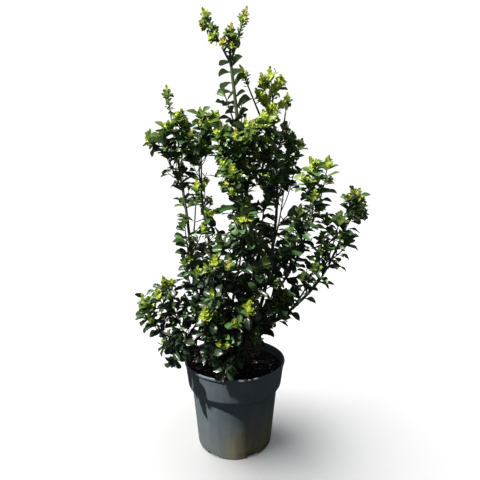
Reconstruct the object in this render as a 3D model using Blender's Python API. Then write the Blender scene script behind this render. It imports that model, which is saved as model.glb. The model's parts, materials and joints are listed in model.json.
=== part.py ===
"""A young bushy holly in a plastic nursery pot, as separate solids.

Metres, +Z up. The origin is the middle of the pot's flat underside, -Y is the
front of the plant and +X is the side of its long low shoot.
"""

import math
import random

import bpy
import bmesh
import numpy as np
from mathutils.bvhtree import BVHTree

# Air left between pieces that meet
GAP = 0.0003

# A direction that no limb runs along, to set its section square to
ROD_REFERENCE = np.array([0.31, 0.87, 0.12])

# Pot: a tapered body, a chamfer and a wide collar up to the rim
POT_HEIGHT = 0.195
RIM_RADIUS = 0.118
RIM_LIP = 0.0022
RIM_LIP_HEIGHT = 0.006
COLLAR_BOTTOM_RADIUS = 0.1092
COLLAR_BOTTOM_HEIGHT = 0.140
BODY_TOP_RADIUS = 0.0995
BODY_TOP_HEIGHT = 0.127
BASE_RADIUS = 0.0872
BASE_CORNER = 0.007
WALL = 0.0018
FLOOR = 0.008
POT_SIDES = 40

# Drain channels under the pot, and the slots in their roofs
CHANNELS = 6
CHANNEL_WIDTH = 0.028
CHANNEL_HEIGHT = 0.0055
CHANNEL_START = 0.034
CHANNEL_TURN = math.radians(-32)
SLOT_LENGTH = 0.014
SLOT_WIDTH = 0.006
SLOT_CENTRE = 0.058

# Soil
SOIL_LEVEL = 0.175
SOIL_ROUGHNESS = 0.003
SOIL_SIDES = 28
SOIL_RINGS = 5
SOIL_FLAT_RADIUS = 0.030

# The short woody foot that the stems rise from
FOOT_HEIGHT = 0.036
FOOT_TOP_RADIUS = 0.011
FOOT_FLARE = 0.010
FOOT_LOBES = 5
FOOT_LOBE_DEPTH = 0.16
FOOT_SIDES = 15
FOOT_RINGS = 5

# Woody limbs: parent, share of the parent's length where it starts, radius at
# the start and at the tip, and the places that it bends through
LIMB_STEP = 0.034
LIMB_SIDES = 7
LIMB_TAPER = 0.8
LIMBS = {
    "stem_leader": ("stem_foot", 0.98, 0.0060, 0.0034, (
        (0.006, 0.002, 0.290), (0.032, 0.000, 0.430), (0.030, 0.000, 0.550),
        (0.007, 0.000, 0.745), (-0.009, 0.003, 0.878))),
    "stem_left": ("stem_foot", 0.64, 0.0050, 0.0024, (
        (-0.046, -0.004, 0.262), (-0.086, -0.010, 0.344), (-0.098, -0.020, 0.452),
        (-0.108, -0.020, 0.540), (-0.120, -0.018, 0.613))),
    "stem_right": ("stem_foot", 0.62, 0.0050, 0.0024, (
        (0.048, 0.020, 0.264), (0.084, 0.028, 0.410), (0.101, 0.034, 0.560),
        (0.095, 0.040, 0.710))),
    "stem_far_right": ("stem_foot", 0.52, 0.0044, 0.0020, (
        (0.038, -0.030, 0.243), (0.067, -0.048, 0.284), (0.120, -0.058, 0.323),
        (0.172, -0.056, 0.374), (0.206, -0.048, 0.422), (0.238, -0.040, 0.488))),
    "stem_front": ("stem_foot", 0.48, 0.0042, 0.0022, (
        (-0.004, -0.042, 0.262), (-0.006, -0.070, 0.325), (0.010, -0.086, 0.420))),
    "stem_back_left": ("stem_foot", 0.60, 0.0044, 0.0022, (
        (-0.032, 0.050, 0.285), (-0.062, 0.096, 0.400), (-0.076, 0.118, 0.500))),
    "stem_back_right": ("stem_foot", 0.24, 0.0044, 0.0022, (
        (0.026, 0.060, 0.290), (0.060, 0.112, 0.410), (0.074, 0.136, 0.520))),
    "stem_low_left": ("stem_foot", 0.34, 0.0038, 0.0020, (
        (-0.052, -0.024, 0.222), (-0.112, -0.044, 0.238), (-0.146, -0.054, 0.264))),
    "bough_left_inner": ("stem_left", 0.16, 0.0040, 0.0022, (
        (-0.056, 0.018, 0.360), (-0.054, 0.022, 0.430), (-0.072, 0.030, 0.524),
        (-0.083, 0.030, 0.620))),
    "bough_right_outer": ("stem_far_right", 0.20, 0.0040, 0.0020, (
        (0.096, -0.024, 0.356), (0.125, -0.020, 0.402), (0.150, -0.028, 0.458),
        (0.168, -0.030, 0.520))),
}

# Foliage masses: the limb that carries it, the share of the limb's length
# where its shoot starts (1 is the limb's tip), the place of its tip, and how
# far its twigs and leaves spread, as a share of a full mass
MASSES = {
    "foliage_spire_centre": ("stem_leader", 1.0, (-0.008, -0.004, 0.930), 0.55),
    "foliage_spire_left": ("stem_leader", 0.985, (-0.066, 0.034, 0.988), 0.40),
    "foliage_spire_right": ("stem_leader", 0.99, (0.021, -0.026, 0.951), 0.35),
    "foliage_leader_high_left": ("stem_leader", 0.74, (-0.021, -0.018, 0.794), 0.30),
    "foliage_leader_high_right": ("stem_leader", 0.69, (0.016, 0.020, 0.778), 0.30),
    "foliage_leader_mid_left": ("stem_leader", 0.52, (-0.027, -0.040, 0.711), 1.0),
    "foliage_leader_mid_right": ("stem_leader", 0.54, (0.034, -0.045, 0.694), 1.0),
    "foliage_leader_low_front": ("stem_leader", 0.37, (-0.003, -0.078, 0.612), 1.0),
    "foliage_right_top": ("stem_right", 1.0, (0.084, 0.034, 0.851), 0.90),
    "foliage_right_top_left": ("stem_right", 0.95, (0.020, 0.000, 0.844), 0.25),
    "foliage_right_top_right": ("stem_right", 0.92, (0.128, 0.078, 0.812), 0.45),
    "foliage_right_high_right": ("stem_right", 0.74, (0.137, 0.050, 0.708), 0.62),
    "foliage_right_high_front": ("stem_right", 0.74, (0.065, -0.040, 0.730), 0.90),
    "foliage_right_mid_right": ("stem_right", 0.52, (0.128, 0.084, 0.639), 0.75),
    "foliage_outer_top": ("bough_right_outer", 1.0, (0.166, -0.050, 0.632), 0.80),
    "foliage_outer_top_right": ("bough_right_outer", 0.90, (0.214, 0.010, 0.644), 0.65),
    "foliage_outer_mid": ("bough_right_outer", 0.50, (0.137, -0.074, 0.534), 0.90),
    "foliage_far_top": ("stem_far_right", 1.0, (0.268, -0.034, 0.564), 0.85),
    "foliage_far_mid": ("stem_far_right", 0.64, (0.222, -0.064, 0.517), 0.75),
    "foliage_far_low": ("stem_far_right", 0.48, (0.176, -0.080, 0.448), 0.75),
    "foliage_far_front": ("stem_far_right", 0.22, (0.102, -0.096, 0.363), 0.85),
    "foliage_left_top": ("stem_left", 1.0, (-0.115, -0.040, 0.732), 0.90),
    "foliage_left_top_outer": ("stem_left", 0.95, (-0.158, -0.010, 0.703), 0.64),
    "foliage_left_top_spire": ("stem_left", 0.90, (-0.159, 0.044, 0.818), 0.35),
    "foliage_left_high": ("stem_left", 0.74, (-0.122, 0.020, 0.636), 0.50),
    "foliage_left_mid": ("stem_left", 0.50, (-0.107, -0.052, 0.512), 0.45),
    "foliage_left_low": ("stem_left", 0.28, (-0.111, -0.036, 0.427), 0.60),
    "foliage_left_front": ("stem_left", 0.62, (-0.081, -0.050, 0.589), 0.60),
    "foliage_inner_top": ("bough_left_inner", 1.0, (-0.051, 0.050, 0.760), 1.0),
    "foliage_inner_right": ("bough_left_inner", 0.90, (-0.075, 0.000, 0.683), 0.75),
    "foliage_low_left_tip": ("stem_low_left", 1.0, (-0.193, -0.060, 0.339), 0.95),
    "foliage_low_left_high": ("stem_low_left", 0.60, (-0.153, -0.040, 0.374), 1.0),
    "foliage_low_left_edge": ("stem_low_left", 0.56, (-0.136, -0.096, 0.262), 0.95),
    "foliage_front_top": ("stem_front", 1.0, (0.020, -0.108, 0.524), 1.0),
    "foliage_front_left": ("stem_front", 0.70, (-0.034, -0.118, 0.432), 1.0),
    "foliage_front_right": ("stem_front", 0.58, (0.060, -0.102, 0.430), 1.0),
    "foliage_front_low": ("stem_front", 0.30, (0.028, -0.126, 0.344), 1.1),
    "foliage_front_low_left": ("stem_front", 0.22, (-0.054, -0.108, 0.326), 1.0),
    "foliage_foot_front": ("stem_front", 0.10, (-0.022, -0.104, 0.262), 1.0),
    "foliage_foot_left": ("stem_left", 0.08, (-0.090, -0.034, 0.316), 1.0),
    "foliage_foot_right": ("stem_right", 0.08, (0.066, -0.002, 0.300), 0.85),
    "foliage_foot_back": ("stem_back_right", 0.10, (0.008, 0.096, 0.330), 1.0),
    "foliage_back_left_top": ("stem_back_left", 1.0, (-0.082, 0.134, 0.606), 1.0),
    "foliage_back_left_low": ("stem_back_left", 0.50, (-0.118, 0.118, 0.430), 1.0),
    "foliage_back_right_top": ("stem_back_right", 1.0, (0.084, 0.146, 0.630), 1.0),
    "foliage_back_right_low": ("stem_back_right", 0.46, (0.130, 0.116, 0.450), 1.0),
    "foliage_back_high": ("stem_leader", 0.445, (0.008, 0.098, 0.696), 1.05),
}

# Main shoot of one mass, and how far along and up it has come halfway, when
# full and when slender
SHOOT_RADII = (0.0019, 0.0009)
SHOOT_SEGMENTS = 5
BOW = np.array([0.72, 0.72, 0.38])
SLENDER_BOW = np.array([0.52, 0.52, 0.48])

# Twigs of one mass
TWIG_RADII = (0.0013, 0.0008)
TWIG_SPACING = 0.060
TWIG_SHARES = (0.26, 0.74)
TWIG_LENGTH = (0.050, 0.034)
TWIG_LEAN = math.radians(48)

# Masses no wider than the first have no side twigs, and those narrower than
# the second have leaves on the upper part only
TWIGLESS_SPREAD = 0.40
BARE_SPREAD = 0.28
LOWEST_LEAF = 0.10
LOWEST_LEAF_ON_BARE = 0.60
SIDES_OF_TWIG = 3

# Leaves: one for about three of the plant's own
LEAF_LENGTH = 0.060
LEAF_WIDTH = 0.54
LEAF_THICKNESS = 0.030
LEAF_WIDEST = 0.56
LEAF_CUP = 0.05
LEAF_SPACING = 0.031
LEAF_LEAN = math.radians(52)
TIP_LEAVES = 3
TIP_LEAF_SCALE = 0.66
LEAF_STALK = 0.12
LEAF_ROLL = math.radians(50)
FITTINGS = ((1.0, 1.0), (1.0, 0.6), (0.8, 1.0), (0.8, 0.6), (0.62, 0.9), (0.62, 0.4))
GOLDEN_ANGLE = math.radians(137.5)

# A mass keeps this far inside its own space and off the limbs
SPACE_MARGIN = 0.0012

# Where the eye looks through or past the crown from the front, as the side
# distance and the height on the middle plane, and the opening's radius
VIEWPOINT = np.array([0.0125, -0.785, 0.537])
OPENINGS = (
    (-0.061, 0.650, 0.0145), (-0.053, 0.590, 0.0175), (-0.030, 0.563, 0.0180),
    (0.050, 0.581, 0.0160), (-0.094, 0.538, 0.0161), (-0.095, 0.510, 0.0138),
    (0.122, 0.565, 0.0207), (0.110, 0.538, 0.0138), (0.077, 0.356, 0.0117),
    (0.063, 0.327, 0.0094), (-0.005, 0.339, 0.0094), (0.023, 0.368, 0.0070),
    (-0.177, 0.649, 0.022), (0.159, 0.651, 0.014), (0.174, 0.313, 0.013),
    (0.129, 0.736, 0.011), (-0.202, 0.233, 0.016), (0.078, 0.235, 0.013), (0.106, 0.262, 0.014),
)

# Corners of the box that the crown's furthest leaf tips reach
CROWN_LOW = (-0.224, -0.166, 0.190)
CROWN_HIGH = (0.304, 0.190, 1.004)


def material(name, colour, roughness, metallic=0.0):
    """A plain finish for one kind of piece."""
    finish = bpy.data.materials.new(name)
    finish.use_nodes = True
    shader = finish.node_tree.nodes["Principled BSDF"]
    shader.inputs["Base Color"].default_value = (*colour, 1.0)
    shader.inputs["Roughness"].default_value = roughness
    shader.inputs["Metallic"].default_value = metallic
    finish.diffuse_color = (*colour, 1.0)
    return finish


def add_object(name, mesh_or_curve, finish, collection=None):
    """Puts new data in the scene as a named object."""
    obj = bpy.data.objects.new(name, mesh_or_curve)
    (collection or bpy.context.scene.collection).objects.link(obj)
    obj.data.materials.append(finish)
    return obj


def mesh_from(name, bm):
    """Turns a bmesh into mesh data with its faces pointing out."""
    bmesh.ops.recalc_face_normals(bm, faces=bm.faces)
    mesh = bpy.data.meshes.new(name)
    bm.to_mesh(mesh)
    bm.free()
    return mesh


def turned(profile, sides):
    """Spins a profile of (radius, height) points, both ends on the axis, into a closed solid."""
    bm = bmesh.new()
    rings = []
    for radius, height in profile:
        if radius == 0.0:
            rings.append([bm.verts.new((0.0, 0.0, height))])
            continue
        turns = [math.tau * i / sides for i in range(sides)]
        rings.append([bm.verts.new((radius * math.cos(a), radius * math.sin(a), height)) for a in turns])
    for below, above in zip(rings, rings[1:]):
        for i in range(sides):
            j = (i + 1) % sides
            corners = [below[i % len(below)], below[j % len(below)], above[j % len(above)], above[i % len(above)]]
            bm.faces.new(list(dict.fromkeys(corners)))
    return bm


def pot_inner_profile():
    """Inner side of the pot wall from the floor up to just under the rim."""
    return [
        (BASE_RADIUS - WALL, FLOOR),
        (BODY_TOP_RADIUS - WALL, BODY_TOP_HEIGHT + WALL),
        (COLLAR_BOTTOM_RADIUS - WALL, COLLAR_BOTTOM_HEIGHT + WALL),
        (RIM_RADIUS - RIM_LIP - WALL, POT_HEIGHT - WALL),
    ]


def pot_profile():
    """Section of the pot: underside, wall, rim, inner wall and floor."""
    corner = [
        (BASE_RADIUS - BASE_CORNER * (1 - math.sin(a)), BASE_CORNER * (1 - math.cos(a)))
        for a in (math.radians(step * 30) for step in range(4))
    ]
    outer = [
        (0.0, 0.0),
        *corner,
        (BODY_TOP_RADIUS, BODY_TOP_HEIGHT),
        (COLLAR_BOTTOM_RADIUS, COLLAR_BOTTOM_HEIGHT),
        (RIM_RADIUS - RIM_LIP, POT_HEIGHT - RIM_LIP_HEIGHT),
        (RIM_RADIUS, POT_HEIGHT - RIM_LIP_HEIGHT + RIM_LIP / 2),
        (RIM_RADIUS, POT_HEIGHT - RIM_LIP / 2),
        (RIM_RADIUS - RIM_LIP / 2, POT_HEIGHT),
        (RIM_RADIUS - RIM_LIP - WALL / 2, POT_HEIGHT),
    ]
    return outer + pot_inner_profile()[::-1] + [(0.0, FLOOR)]


def block(name, size, place, turn, collection):
    """A box that cuts, turned about the vertical."""
    bm = bmesh.new()
    bmesh.ops.create_cube(bm, size=1.0)
    bmesh.ops.scale(bm, vec=size, verts=bm.verts)
    bmesh.ops.translate(bm, vec=place, verts=bm.verts)
    obj = bpy.data.objects.new(name, mesh_from(name, bm))
    obj.rotation_euler = (0.0, 0.0, turn)
    obj.hide_render = True
    obj.display_type = "WIRE"
    collection.objects.link(obj)
    return obj


def build_pot(finish):
    pot = add_object("pot", mesh_from("pot", turned(pot_profile(), POT_SIDES)), finish)
    cutters = bpy.data.collections.new("drain_cutters")
    bpy.context.scene.collection.children.link(cutters)
    channel_length = BASE_RADIUS + 0.02 - CHANNEL_START
    for i in range(CHANNELS):
        turn = CHANNEL_TURN + math.radians(270) + math.tau * i / CHANNELS
        channel = (channel_length, CHANNEL_WIDTH, 2 * CHANNEL_HEIGHT)
        place = (CHANNEL_START + channel_length / 2, 0.0, 0.0)
        block(f"channel_{i}", channel, place, turn, cutters)
        slot = (SLOT_LENGTH, SLOT_WIDTH, 2 * FLOOR)
        block(f"slot_{i}", slot, (SLOT_CENTRE, 0.0, FLOOR), turn, cutters)
    cut = pot.modifiers.new("drainage", "BOOLEAN")
    cut.operation = "DIFFERENCE"
    cut.operand_type = "COLLECTION"
    cut.collection = cutters
    cut.solver = "EXACT"
    pot.data.shade_smooth()
    pot.data.set_sharp_from_angle(angle=math.radians(30))


def build_soil(finish):
    """Root ball that fills the pot, with an uneven top that is flat under the foot."""
    rng = random.Random(11)
    clear = 2 * GAP
    inner = pot_inner_profile()
    (low_r, low_z), (top_r, top_z), (collar_r, collar_z), (rim_r, rim_z) = inner
    share = (SOIL_LEVEL - collar_z) / (rim_z - collar_z)
    surface_r = collar_r + (rim_r - collar_r) * share - clear
    profile = [(0.0, low_z + clear), (low_r - clear, low_z + clear)]
    profile += [(top_r - clear, top_z), (collar_r - clear, collar_z + clear), (surface_r, SOIL_LEVEL)]
    for ring in range(1, SOIL_RINGS):
        profile.append((surface_r * (1 - ring / SOIL_RINGS), SOIL_LEVEL))
    profile.append((0.0, SOIL_LEVEL))
    bm = turned(profile, SOIL_SIDES)
    for vert in bm.verts:
        radius = math.hypot(vert.co.x, vert.co.y)
        if vert.co.z > SOIL_LEVEL - GAP and SOIL_FLAT_RADIUS < radius < surface_r - GAP:
            vert.co.z += SOIL_ROUGHNESS * (rng.random() - 0.5)
    add_object("soil", mesh_from("soil", bm), finish)


def surface_tree(mesh):
    """A search tree of a mesh's faces, for distances from it."""
    return BVHTree.FromPolygons([v.co for v in mesh.vertices], [p.vertices for p in mesh.polygons])


class Limb:
    """A woody piece: a path of points with a radius at each."""

    def __init__(self, points, radii, mesh=None):
        self.points = np.array(points, float)
        self.radii = np.array(radii, float)
        self.bark = mesh and surface_tree(mesh)
        steps = np.linalg.norm(np.diff(self.points, axis=0), axis=1)
        self.lengths = np.concatenate([[0.0], np.cumsum(steps)])

    def at(self, share):
        """Place and direction at a share of the length."""
        distance = share * self.lengths[-1]
        place = np.array([np.interp(distance, self.lengths, self.points[:, k]) for k in range(3)])
        i = min(np.searchsorted(self.lengths, distance, side="right"), len(self.points) - 1)
        direction = self.points[i] - self.points[i - 1]
        return place, direction / np.linalg.norm(direction)

    def radius_at(self, share):
        return float(np.interp(share * self.lengths[-1], self.lengths, self.radii))

    def distances(self, places):
        """Distance of each place from the nearest axis point, and the radius there."""
        starts = self.points[:-1]
        spans = self.points[1:] - starts
        away = places[:, None, :] - starts
        share = np.clip((away * spans).sum(2) / (spans * spans).sum(1), 0.0, 1.0)
        gaps = np.linalg.norm(away - share[:, :, None] * spans, axis=2)
        nearest = gaps.argmin(1)
        rows = np.arange(len(places))
        near_share = share[rows, nearest]
        radius = self.radii[nearest] * (1 - near_share) + self.radii[nearest + 1] * near_share
        return gaps[rows, nearest], radius

    def clearance(self, places):
        """Smallest distance of the places from the bark."""
        gaps, radius = self.distances(places)
        return float((gaps - radius).min())


def unit(vector):
    return vector / np.linalg.norm(vector)


def side_axes(direction):
    """Two directions square to the given one and to each other."""
    other = np.array([1.0, 0.0, 0.0]) if abs(direction[0]) < 0.8 else np.array([0.0, 1.0, 0.0])
    first = unit(np.cross(direction, other))
    return first, np.cross(direction, first)


def smooth_path(places, step):
    """A smooth curve through the places, as points about a step apart."""
    places = [np.array(p, float) for p in places]
    ends = [2 * places[0] - places[1], *places, 2 * places[-1] - places[-2]]
    path = [places[0]]
    for before, start, end, after in zip(ends, ends[1:], ends[2:], ends[3:]):
        count = max(2, round(np.linalg.norm(end - start) / step))
        for t in np.linspace(0, 1, count + 1)[1:]:
            slope = (after - start) * t ** 3 - (after - start) * t ** 2
            slope += (end - before) * (t ** 3 - 2 * t ** 2 + t)
            path.append((2 * t ** 3 - 3 * t ** 2 + 1) * start + (3 * t ** 2 - 2 * t ** 3) * end + slope / 2)
    return np.array(path)


def bent_path(start, bend, end, count):
    """A quadratic curve with its one bend, as count + 1 points."""
    return np.array([(1 - t) ** 2 * start + 2 * t * (1 - t) * bend + t * t * end for t in np.linspace(0, 1, count + 1)])


def ring_corners(before, after, place, radius, sides):
    """Corners of a rod's section, square to the line from before to after."""
    direction = unit(after - before)
    first = unit(np.cross(direction, ROD_REFERENCE))
    second = np.cross(direction, first)
    turns = np.linspace(0, math.tau, sides, endpoint=False)[:, None]
    return place + radius * (np.cos(turns) * first + np.sin(turns) * second)


def start_clear_of(parent, path, radius, sides):
    """Cuts the start of the path back until a rod's end face just clears the parent's bark."""
    whole = Limb(path, np.ones(len(path)))
    distance = 0.0
    while True:
        place, _ = whole.at(distance / whole.lengths[-1])
        cut = np.vstack([place, path[whole.lengths > distance + 2 * radius]])
        corners = ring_corners(cut[0], cut[1], place, radius, sides)
        middles = (corners + np.roll(corners, 1, axis=0)) / 2
        end_face = np.vstack([corners, middles, (corners + place) / 2, (middles + place) / 2, [place]])
        along = unit(cut[1] - cut[0]) * radius
        samples = np.vstack([end_face] + [end_face[:2 * sides] + along * step for step in (0.5, 1.0, 1.5, 2.0)])
        gaps = []
        for sample in samples:
            nearest, normal, _, gap = parent.bark.find_nearest(sample)
            gaps.append(gap if np.dot(sample - np.array(nearest), normal) > 0 else -gap)
        if min(gaps) >= GAP:
            return cut
        distance += GAP / 6


def foot_radius(share, turn=0.0):
    flare = FOOT_FLARE * (1 - share) ** 2
    lobes = 1 + FOOT_LOBE_DEPTH * (1 - share) * math.cos(FOOT_LOBES * turn)
    return (FOOT_TOP_RADIUS + flare) * lobes


def build_foot(finish):
    """Short flared foot, cut flat at the soil."""
    bm = bmesh.new()
    rings = []
    for ring in range(FOOT_RINGS):
        share = ring / (FOOT_RINGS - 1)
        height = SOIL_LEVEL + GAP + share * FOOT_HEIGHT
        turns = [math.tau * i / FOOT_SIDES for i in range(FOOT_SIDES)]
        rings.append([
            bm.verts.new((foot_radius(share, a) * math.cos(a), foot_radius(share, a) * math.sin(a), height))
            for a in turns
        ])
    for below, above in zip(rings, rings[1:]):
        for i in range(FOOT_SIDES):
            j = (i + 1) % FOOT_SIDES
            bm.faces.new((below[i], below[j], above[j], above[i]))
    bm.faces.new(rings[0])
    bm.faces.new(rings[-1])
    mesh = mesh_from("stem_foot", bm)
    mesh.shade_smooth()
    mesh.set_sharp_from_angle(angle=math.radians(50))
    add_object("stem_foot", mesh, finish)
    shares = np.linspace(0, 1, FOOT_RINGS)
    axis = [(0.0, 0.0, SOIL_LEVEL + GAP + share * FOOT_HEIGHT) for share in shares]
    return Limb(axis, [foot_radius(share) for share in shares], mesh)


def build_limb(name, finish, parent, share, start_radius, tip_radius, bends):
    """One tapering limb that rises from its parent."""
    start, _ = parent.at(share)
    path = smooth_path([start, *bends], LIMB_STEP)
    path = start_clear_of(parent, path, start_radius, LIMB_SIDES)
    radii = np.linspace(1, 0, len(path)) ** LIMB_TAPER * (start_radius - tip_radius) + tip_radius
    mesh = mesh_from(name, rod_bmesh(Limb(path, radii), LIMB_SIDES))
    mesh.shade_smooth()
    mesh.set_sharp_from_angle(angle=math.radians(60))
    add_object(name, mesh, finish)
    return Limb(path, radii, mesh)


def plan_shoot(limb, share, tip, spread):
    """Path of a mass's main shoot, from its limb to its tip, turning upward."""
    tip = np.array(tip)
    start, direction = limb.at(share)
    if share == 1.0:
        start = start + direction * GAP
        bend = start + direction * 0.45 * np.linalg.norm(tip - start)
        path = bent_path(start, bend, tip, SHOOT_SEGMENTS)
    else:
        bend = start + (tip - start) * (SLENDER_BOW if spread <= TWIGLESS_SPREAD else BOW)
        path = bent_path(start, bend, tip, 4 * SHOOT_SEGMENTS)
        path = start_clear_of(limb, path, SHOOT_RADII[0], SIDES_OF_TWIG)
        whole = Limb(path, np.ones(len(path)))
        path = np.array([whole.at(s)[0] for s in np.linspace(0, 1, SHOOT_SEGMENTS + 1)])
    return Limb(path, np.linspace(*SHOOT_RADII, len(path)))


def in_own_space(places, own, others, limbs):
    """True where every place is nearer to its own shoot than to any other, and clear of the limbs."""
    here = own.distances(places)[0]
    for other in others:
        if (other.distances(places)[0] - here).min() < 2 * SPACE_MARGIN:
            return False
    return all(limb.clearance(places) > SPACE_MARGIN for limb in limbs)


def in_opening(places):
    """True where a place would close one of the openings, as seen from the front."""
    lines = places - VIEWPOINT
    crossings = VIEWPOINT + lines * (-VIEWPOINT[1] / lines[:, 1])[:, None]
    return any((np.hypot(crossings[:, 0] - x, crossings[:, 2] - z) < radius).any() for x, z, radius in OPENINGS)


def plan_twigs(shoot, spread, rng, fits):
    """Side twigs of a shoot, each one kept only where it fits."""
    twigs = []
    if spread <= TWIGLESS_SPREAD:
        return twigs
    count = max(2, round(shoot.lengths[-1] / TWIG_SPACING))
    turn = rng.uniform(0, math.tau)
    for share in np.linspace(*TWIG_SHARES, count):
        turn += GOLDEN_ANGLE
        place, direction = shoot.at(share)
        first, second = side_axes(direction)
        out = math.cos(turn) * first + math.sin(turn) * second
        length = spread * rng.uniform(0.8, 1.2) * np.interp(share, TWIG_SHARES, TWIG_LENGTH)
        for size, opening in FITTINGS:
            lean = TWIG_LEAN * opening
            end = place + length * size * (math.sin(lean) * out + math.cos(lean) * direction)
            if fits(np.linspace(place, end, 5)[1:]):
                twigs.append(Limb([place, end], TWIG_RADII))
                break
    return twigs


def leaf_corners(place, direction, face, length):
    """Six corners of a thin leaf: stalk end, tip, two edges, upper and under side."""
    across = unit(np.cross(direction, face))
    upper = np.cross(across, direction)
    middle = place + direction * length * LEAF_WIDEST + upper * length * LEAF_CUP
    half_width = across * length * LEAF_WIDTH / 2
    half_thickness = upper * length * LEAF_THICKNESS / 2
    stalk_end = place - direction * TWIG_RADII[1]
    tip = place + direction * length
    drop = upper * length * LEAF_CUP
    return np.array([
        stalk_end, tip, middle + half_width - drop, middle - half_width - drop,
        middle + half_thickness, middle - half_thickness,
    ])


LEAF_FACES = ((0, 2, 4), (2, 1, 4), (1, 3, 4), (3, 0, 4), (2, 0, 5), (1, 2, 5), (3, 1, 5), (0, 3, 5))


def blade_tree(corners):
    """The leaf past its stalk, to test against other leaves."""
    blade = corners.copy()
    blade[0] += (corners[1] - corners[0]) * LEAF_STALK
    return BVHTree.FromPolygons(blade.tolist(), LEAF_FACES)


def leaf_samples(corners):
    """Corners, edge middles and the centre, except the stalk end."""
    return np.vstack([corners[1:], (corners[1:4] + corners[[2, 3, 1]]) / 2, corners[2:4] * 0.6 + corners[0] * 0.4])


def plan_leaves(twig, start_share, tip_leaves, spread, rng, fits, taken):
    """Leaves up one twig, spaced on a spiral, with a tuft of smaller ones at its tip."""
    leaves = []
    length = twig.lengths[-1]
    count = max(1, round(length * (1 - start_share) / LEAF_SPACING))
    turn = rng.uniform(0, math.tau)
    shares = [start_share + (0.92 - start_share) * i / count for i in range(count)] + [0.985] * tip_leaves
    for i, share in enumerate(shares):
        at_tip = i >= count
        turn += math.tau / tip_leaves if at_tip else GOLDEN_ANGLE
        place, direction = twig.at(share)
        first, second = side_axes(direction)
        out = math.cos(turn) * first + math.sin(turn) * second
        lean = rng.uniform(0.85, 1.15) * LEAF_LEAN * (0.62 if at_tip else 1.0)
        roll = rng.uniform(-LEAF_ROLL, LEAF_ROLL)
        size = LEAF_LENGTH * rng.uniform(0.88, 1.1) * (TIP_LEAF_SCALE if at_tip else 1.0)
        size *= 0.4 + 0.6 * spread
        for scale, opening in FITTINGS:
            angle = lean * opening
            towards = math.sin(angle) * out + math.cos(angle) * direction
            inward = math.sin(angle) * direction - math.cos(angle) * out
            face = math.cos(roll) * inward + math.sin(roll) * np.cross(towards, inward)
            corners = leaf_corners(place, towards, face, size * scale)
            if not fits(leaf_samples(corners)):
                continue
            blade = blade_tree(corners)
            if not any(blade.overlap(other) for other in taken):
                leaves.append(corners)
                taken.append(blade)
                break
    return leaves


def rod_bmesh(limb, sides):
    """A tapered rod with flat ends along a limb's path."""
    bm = bmesh.new()
    rings = []
    for i, (place, radius) in enumerate(zip(limb.points, limb.radii)):
        before = limb.points[max(0, i - 1)]
        after = limb.points[min(len(limb.points) - 1, i + 1)]
        rings.append([bm.verts.new(corner) for corner in ring_corners(before, after, place, radius, sides)])
    for below, above in zip(rings, rings[1:]):
        for i in range(sides):
            j = (i + 1) % sides
            bm.faces.new((below[i], below[j], above[j], above[i]))
    bm.faces.new(rings[0])
    bm.faces.new(rings[-1])
    return bm


def leaf_bmesh(corners):
    bm = bmesh.new()
    verts = [bm.verts.new(corner) for corner in corners]
    for face in LEAF_FACES:
        bm.faces.new([verts[i] for i in face])
    return bm


def keep_largest_shell(mesh):
    """Drops loose scraps and the walls of sealed hollows, which leaves one solid body."""
    bm = bmesh.new()
    bm.from_mesh(mesh)
    unseen = set(bm.faces)
    shells = []
    while unseen:
        shell = [unseen.pop()]
        for face in shell:
            for edge in face.edges:
                for neighbour in edge.link_faces:
                    if neighbour in unseen:
                        unseen.remove(neighbour)
                        shell.append(neighbour)
        shells.append(shell)
    shells.sort(key=len)
    for shell in shells[:-1]:
        bmesh.ops.delete(bm, geom=shell, context="FACES")
    bm.to_mesh(mesh)
    bm.free()


def fuse(name, shoot, twigs, leaves, finish):
    """Joins a mass's shoot, twigs and leaves into one solid."""
    pieces = bpy.data.collections.new(f"{name}_pieces")
    bpy.context.scene.collection.children.link(pieces)
    for twig in twigs:
        add_object("twig", mesh_from("twig", rod_bmesh(twig, SIDES_OF_TWIG)), finish, pieces)
    for corners in leaves:
        add_object("leaf", mesh_from("leaf", leaf_bmesh(corners)), finish, pieces)
    mass = add_object(name, mesh_from(name, rod_bmesh(shoot, SIDES_OF_TWIG)), finish)
    union = mass.modifiers.new("fused", "BOOLEAN")
    union.operation = "UNION"
    union.operand_type = "COLLECTION"
    union.collection = pieces
    union.solver = "EXACT"
    graph = bpy.context.evaluated_depsgraph_get()
    fused = bpy.data.meshes.new_from_object(mass.evaluated_get(graph))
    mass.modifiers.clear()
    mass.data = fused
    keep_largest_shell(fused)
    for obj in list(pieces.objects):
        bpy.data.objects.remove(obj)
    bpy.data.collections.remove(pieces)
    return mass


def build_foliage(limbs, finish):
    shoots = {name: plan_shoot(limbs[limb], *rest) for name, (limb, *rest) in MASSES.items()}
    for number, (name, shoot) in enumerate(shoots.items()):
        spread = MASSES[name][3]
        rng = random.Random(400 + number)
        others = [other for key, other in shoots.items() if key != name]

        def fits(places):
            if in_opening(places) or (places < CROWN_LOW).any() or (places > CROWN_HIGH).any():
                return False
            return in_own_space(places, shoot, others, limbs.values())

        twigs = plan_twigs(shoot, spread, rng, fits)
        taken = []
        lowest = LOWEST_LEAF_ON_BARE if spread < BARE_SPREAD else LOWEST_LEAF
        leaves = plan_leaves(shoot, lowest, TIP_LEAVES, spread, rng, fits, taken)
        for twig in twigs:
            leaves += plan_leaves(twig, 0.55, 1, spread, rng, fits, taken)
        fuse(name, shoot, twigs, leaves, finish)


def clear_scene():
    for obj in list(bpy.data.objects):
        bpy.data.objects.remove(obj)


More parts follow.
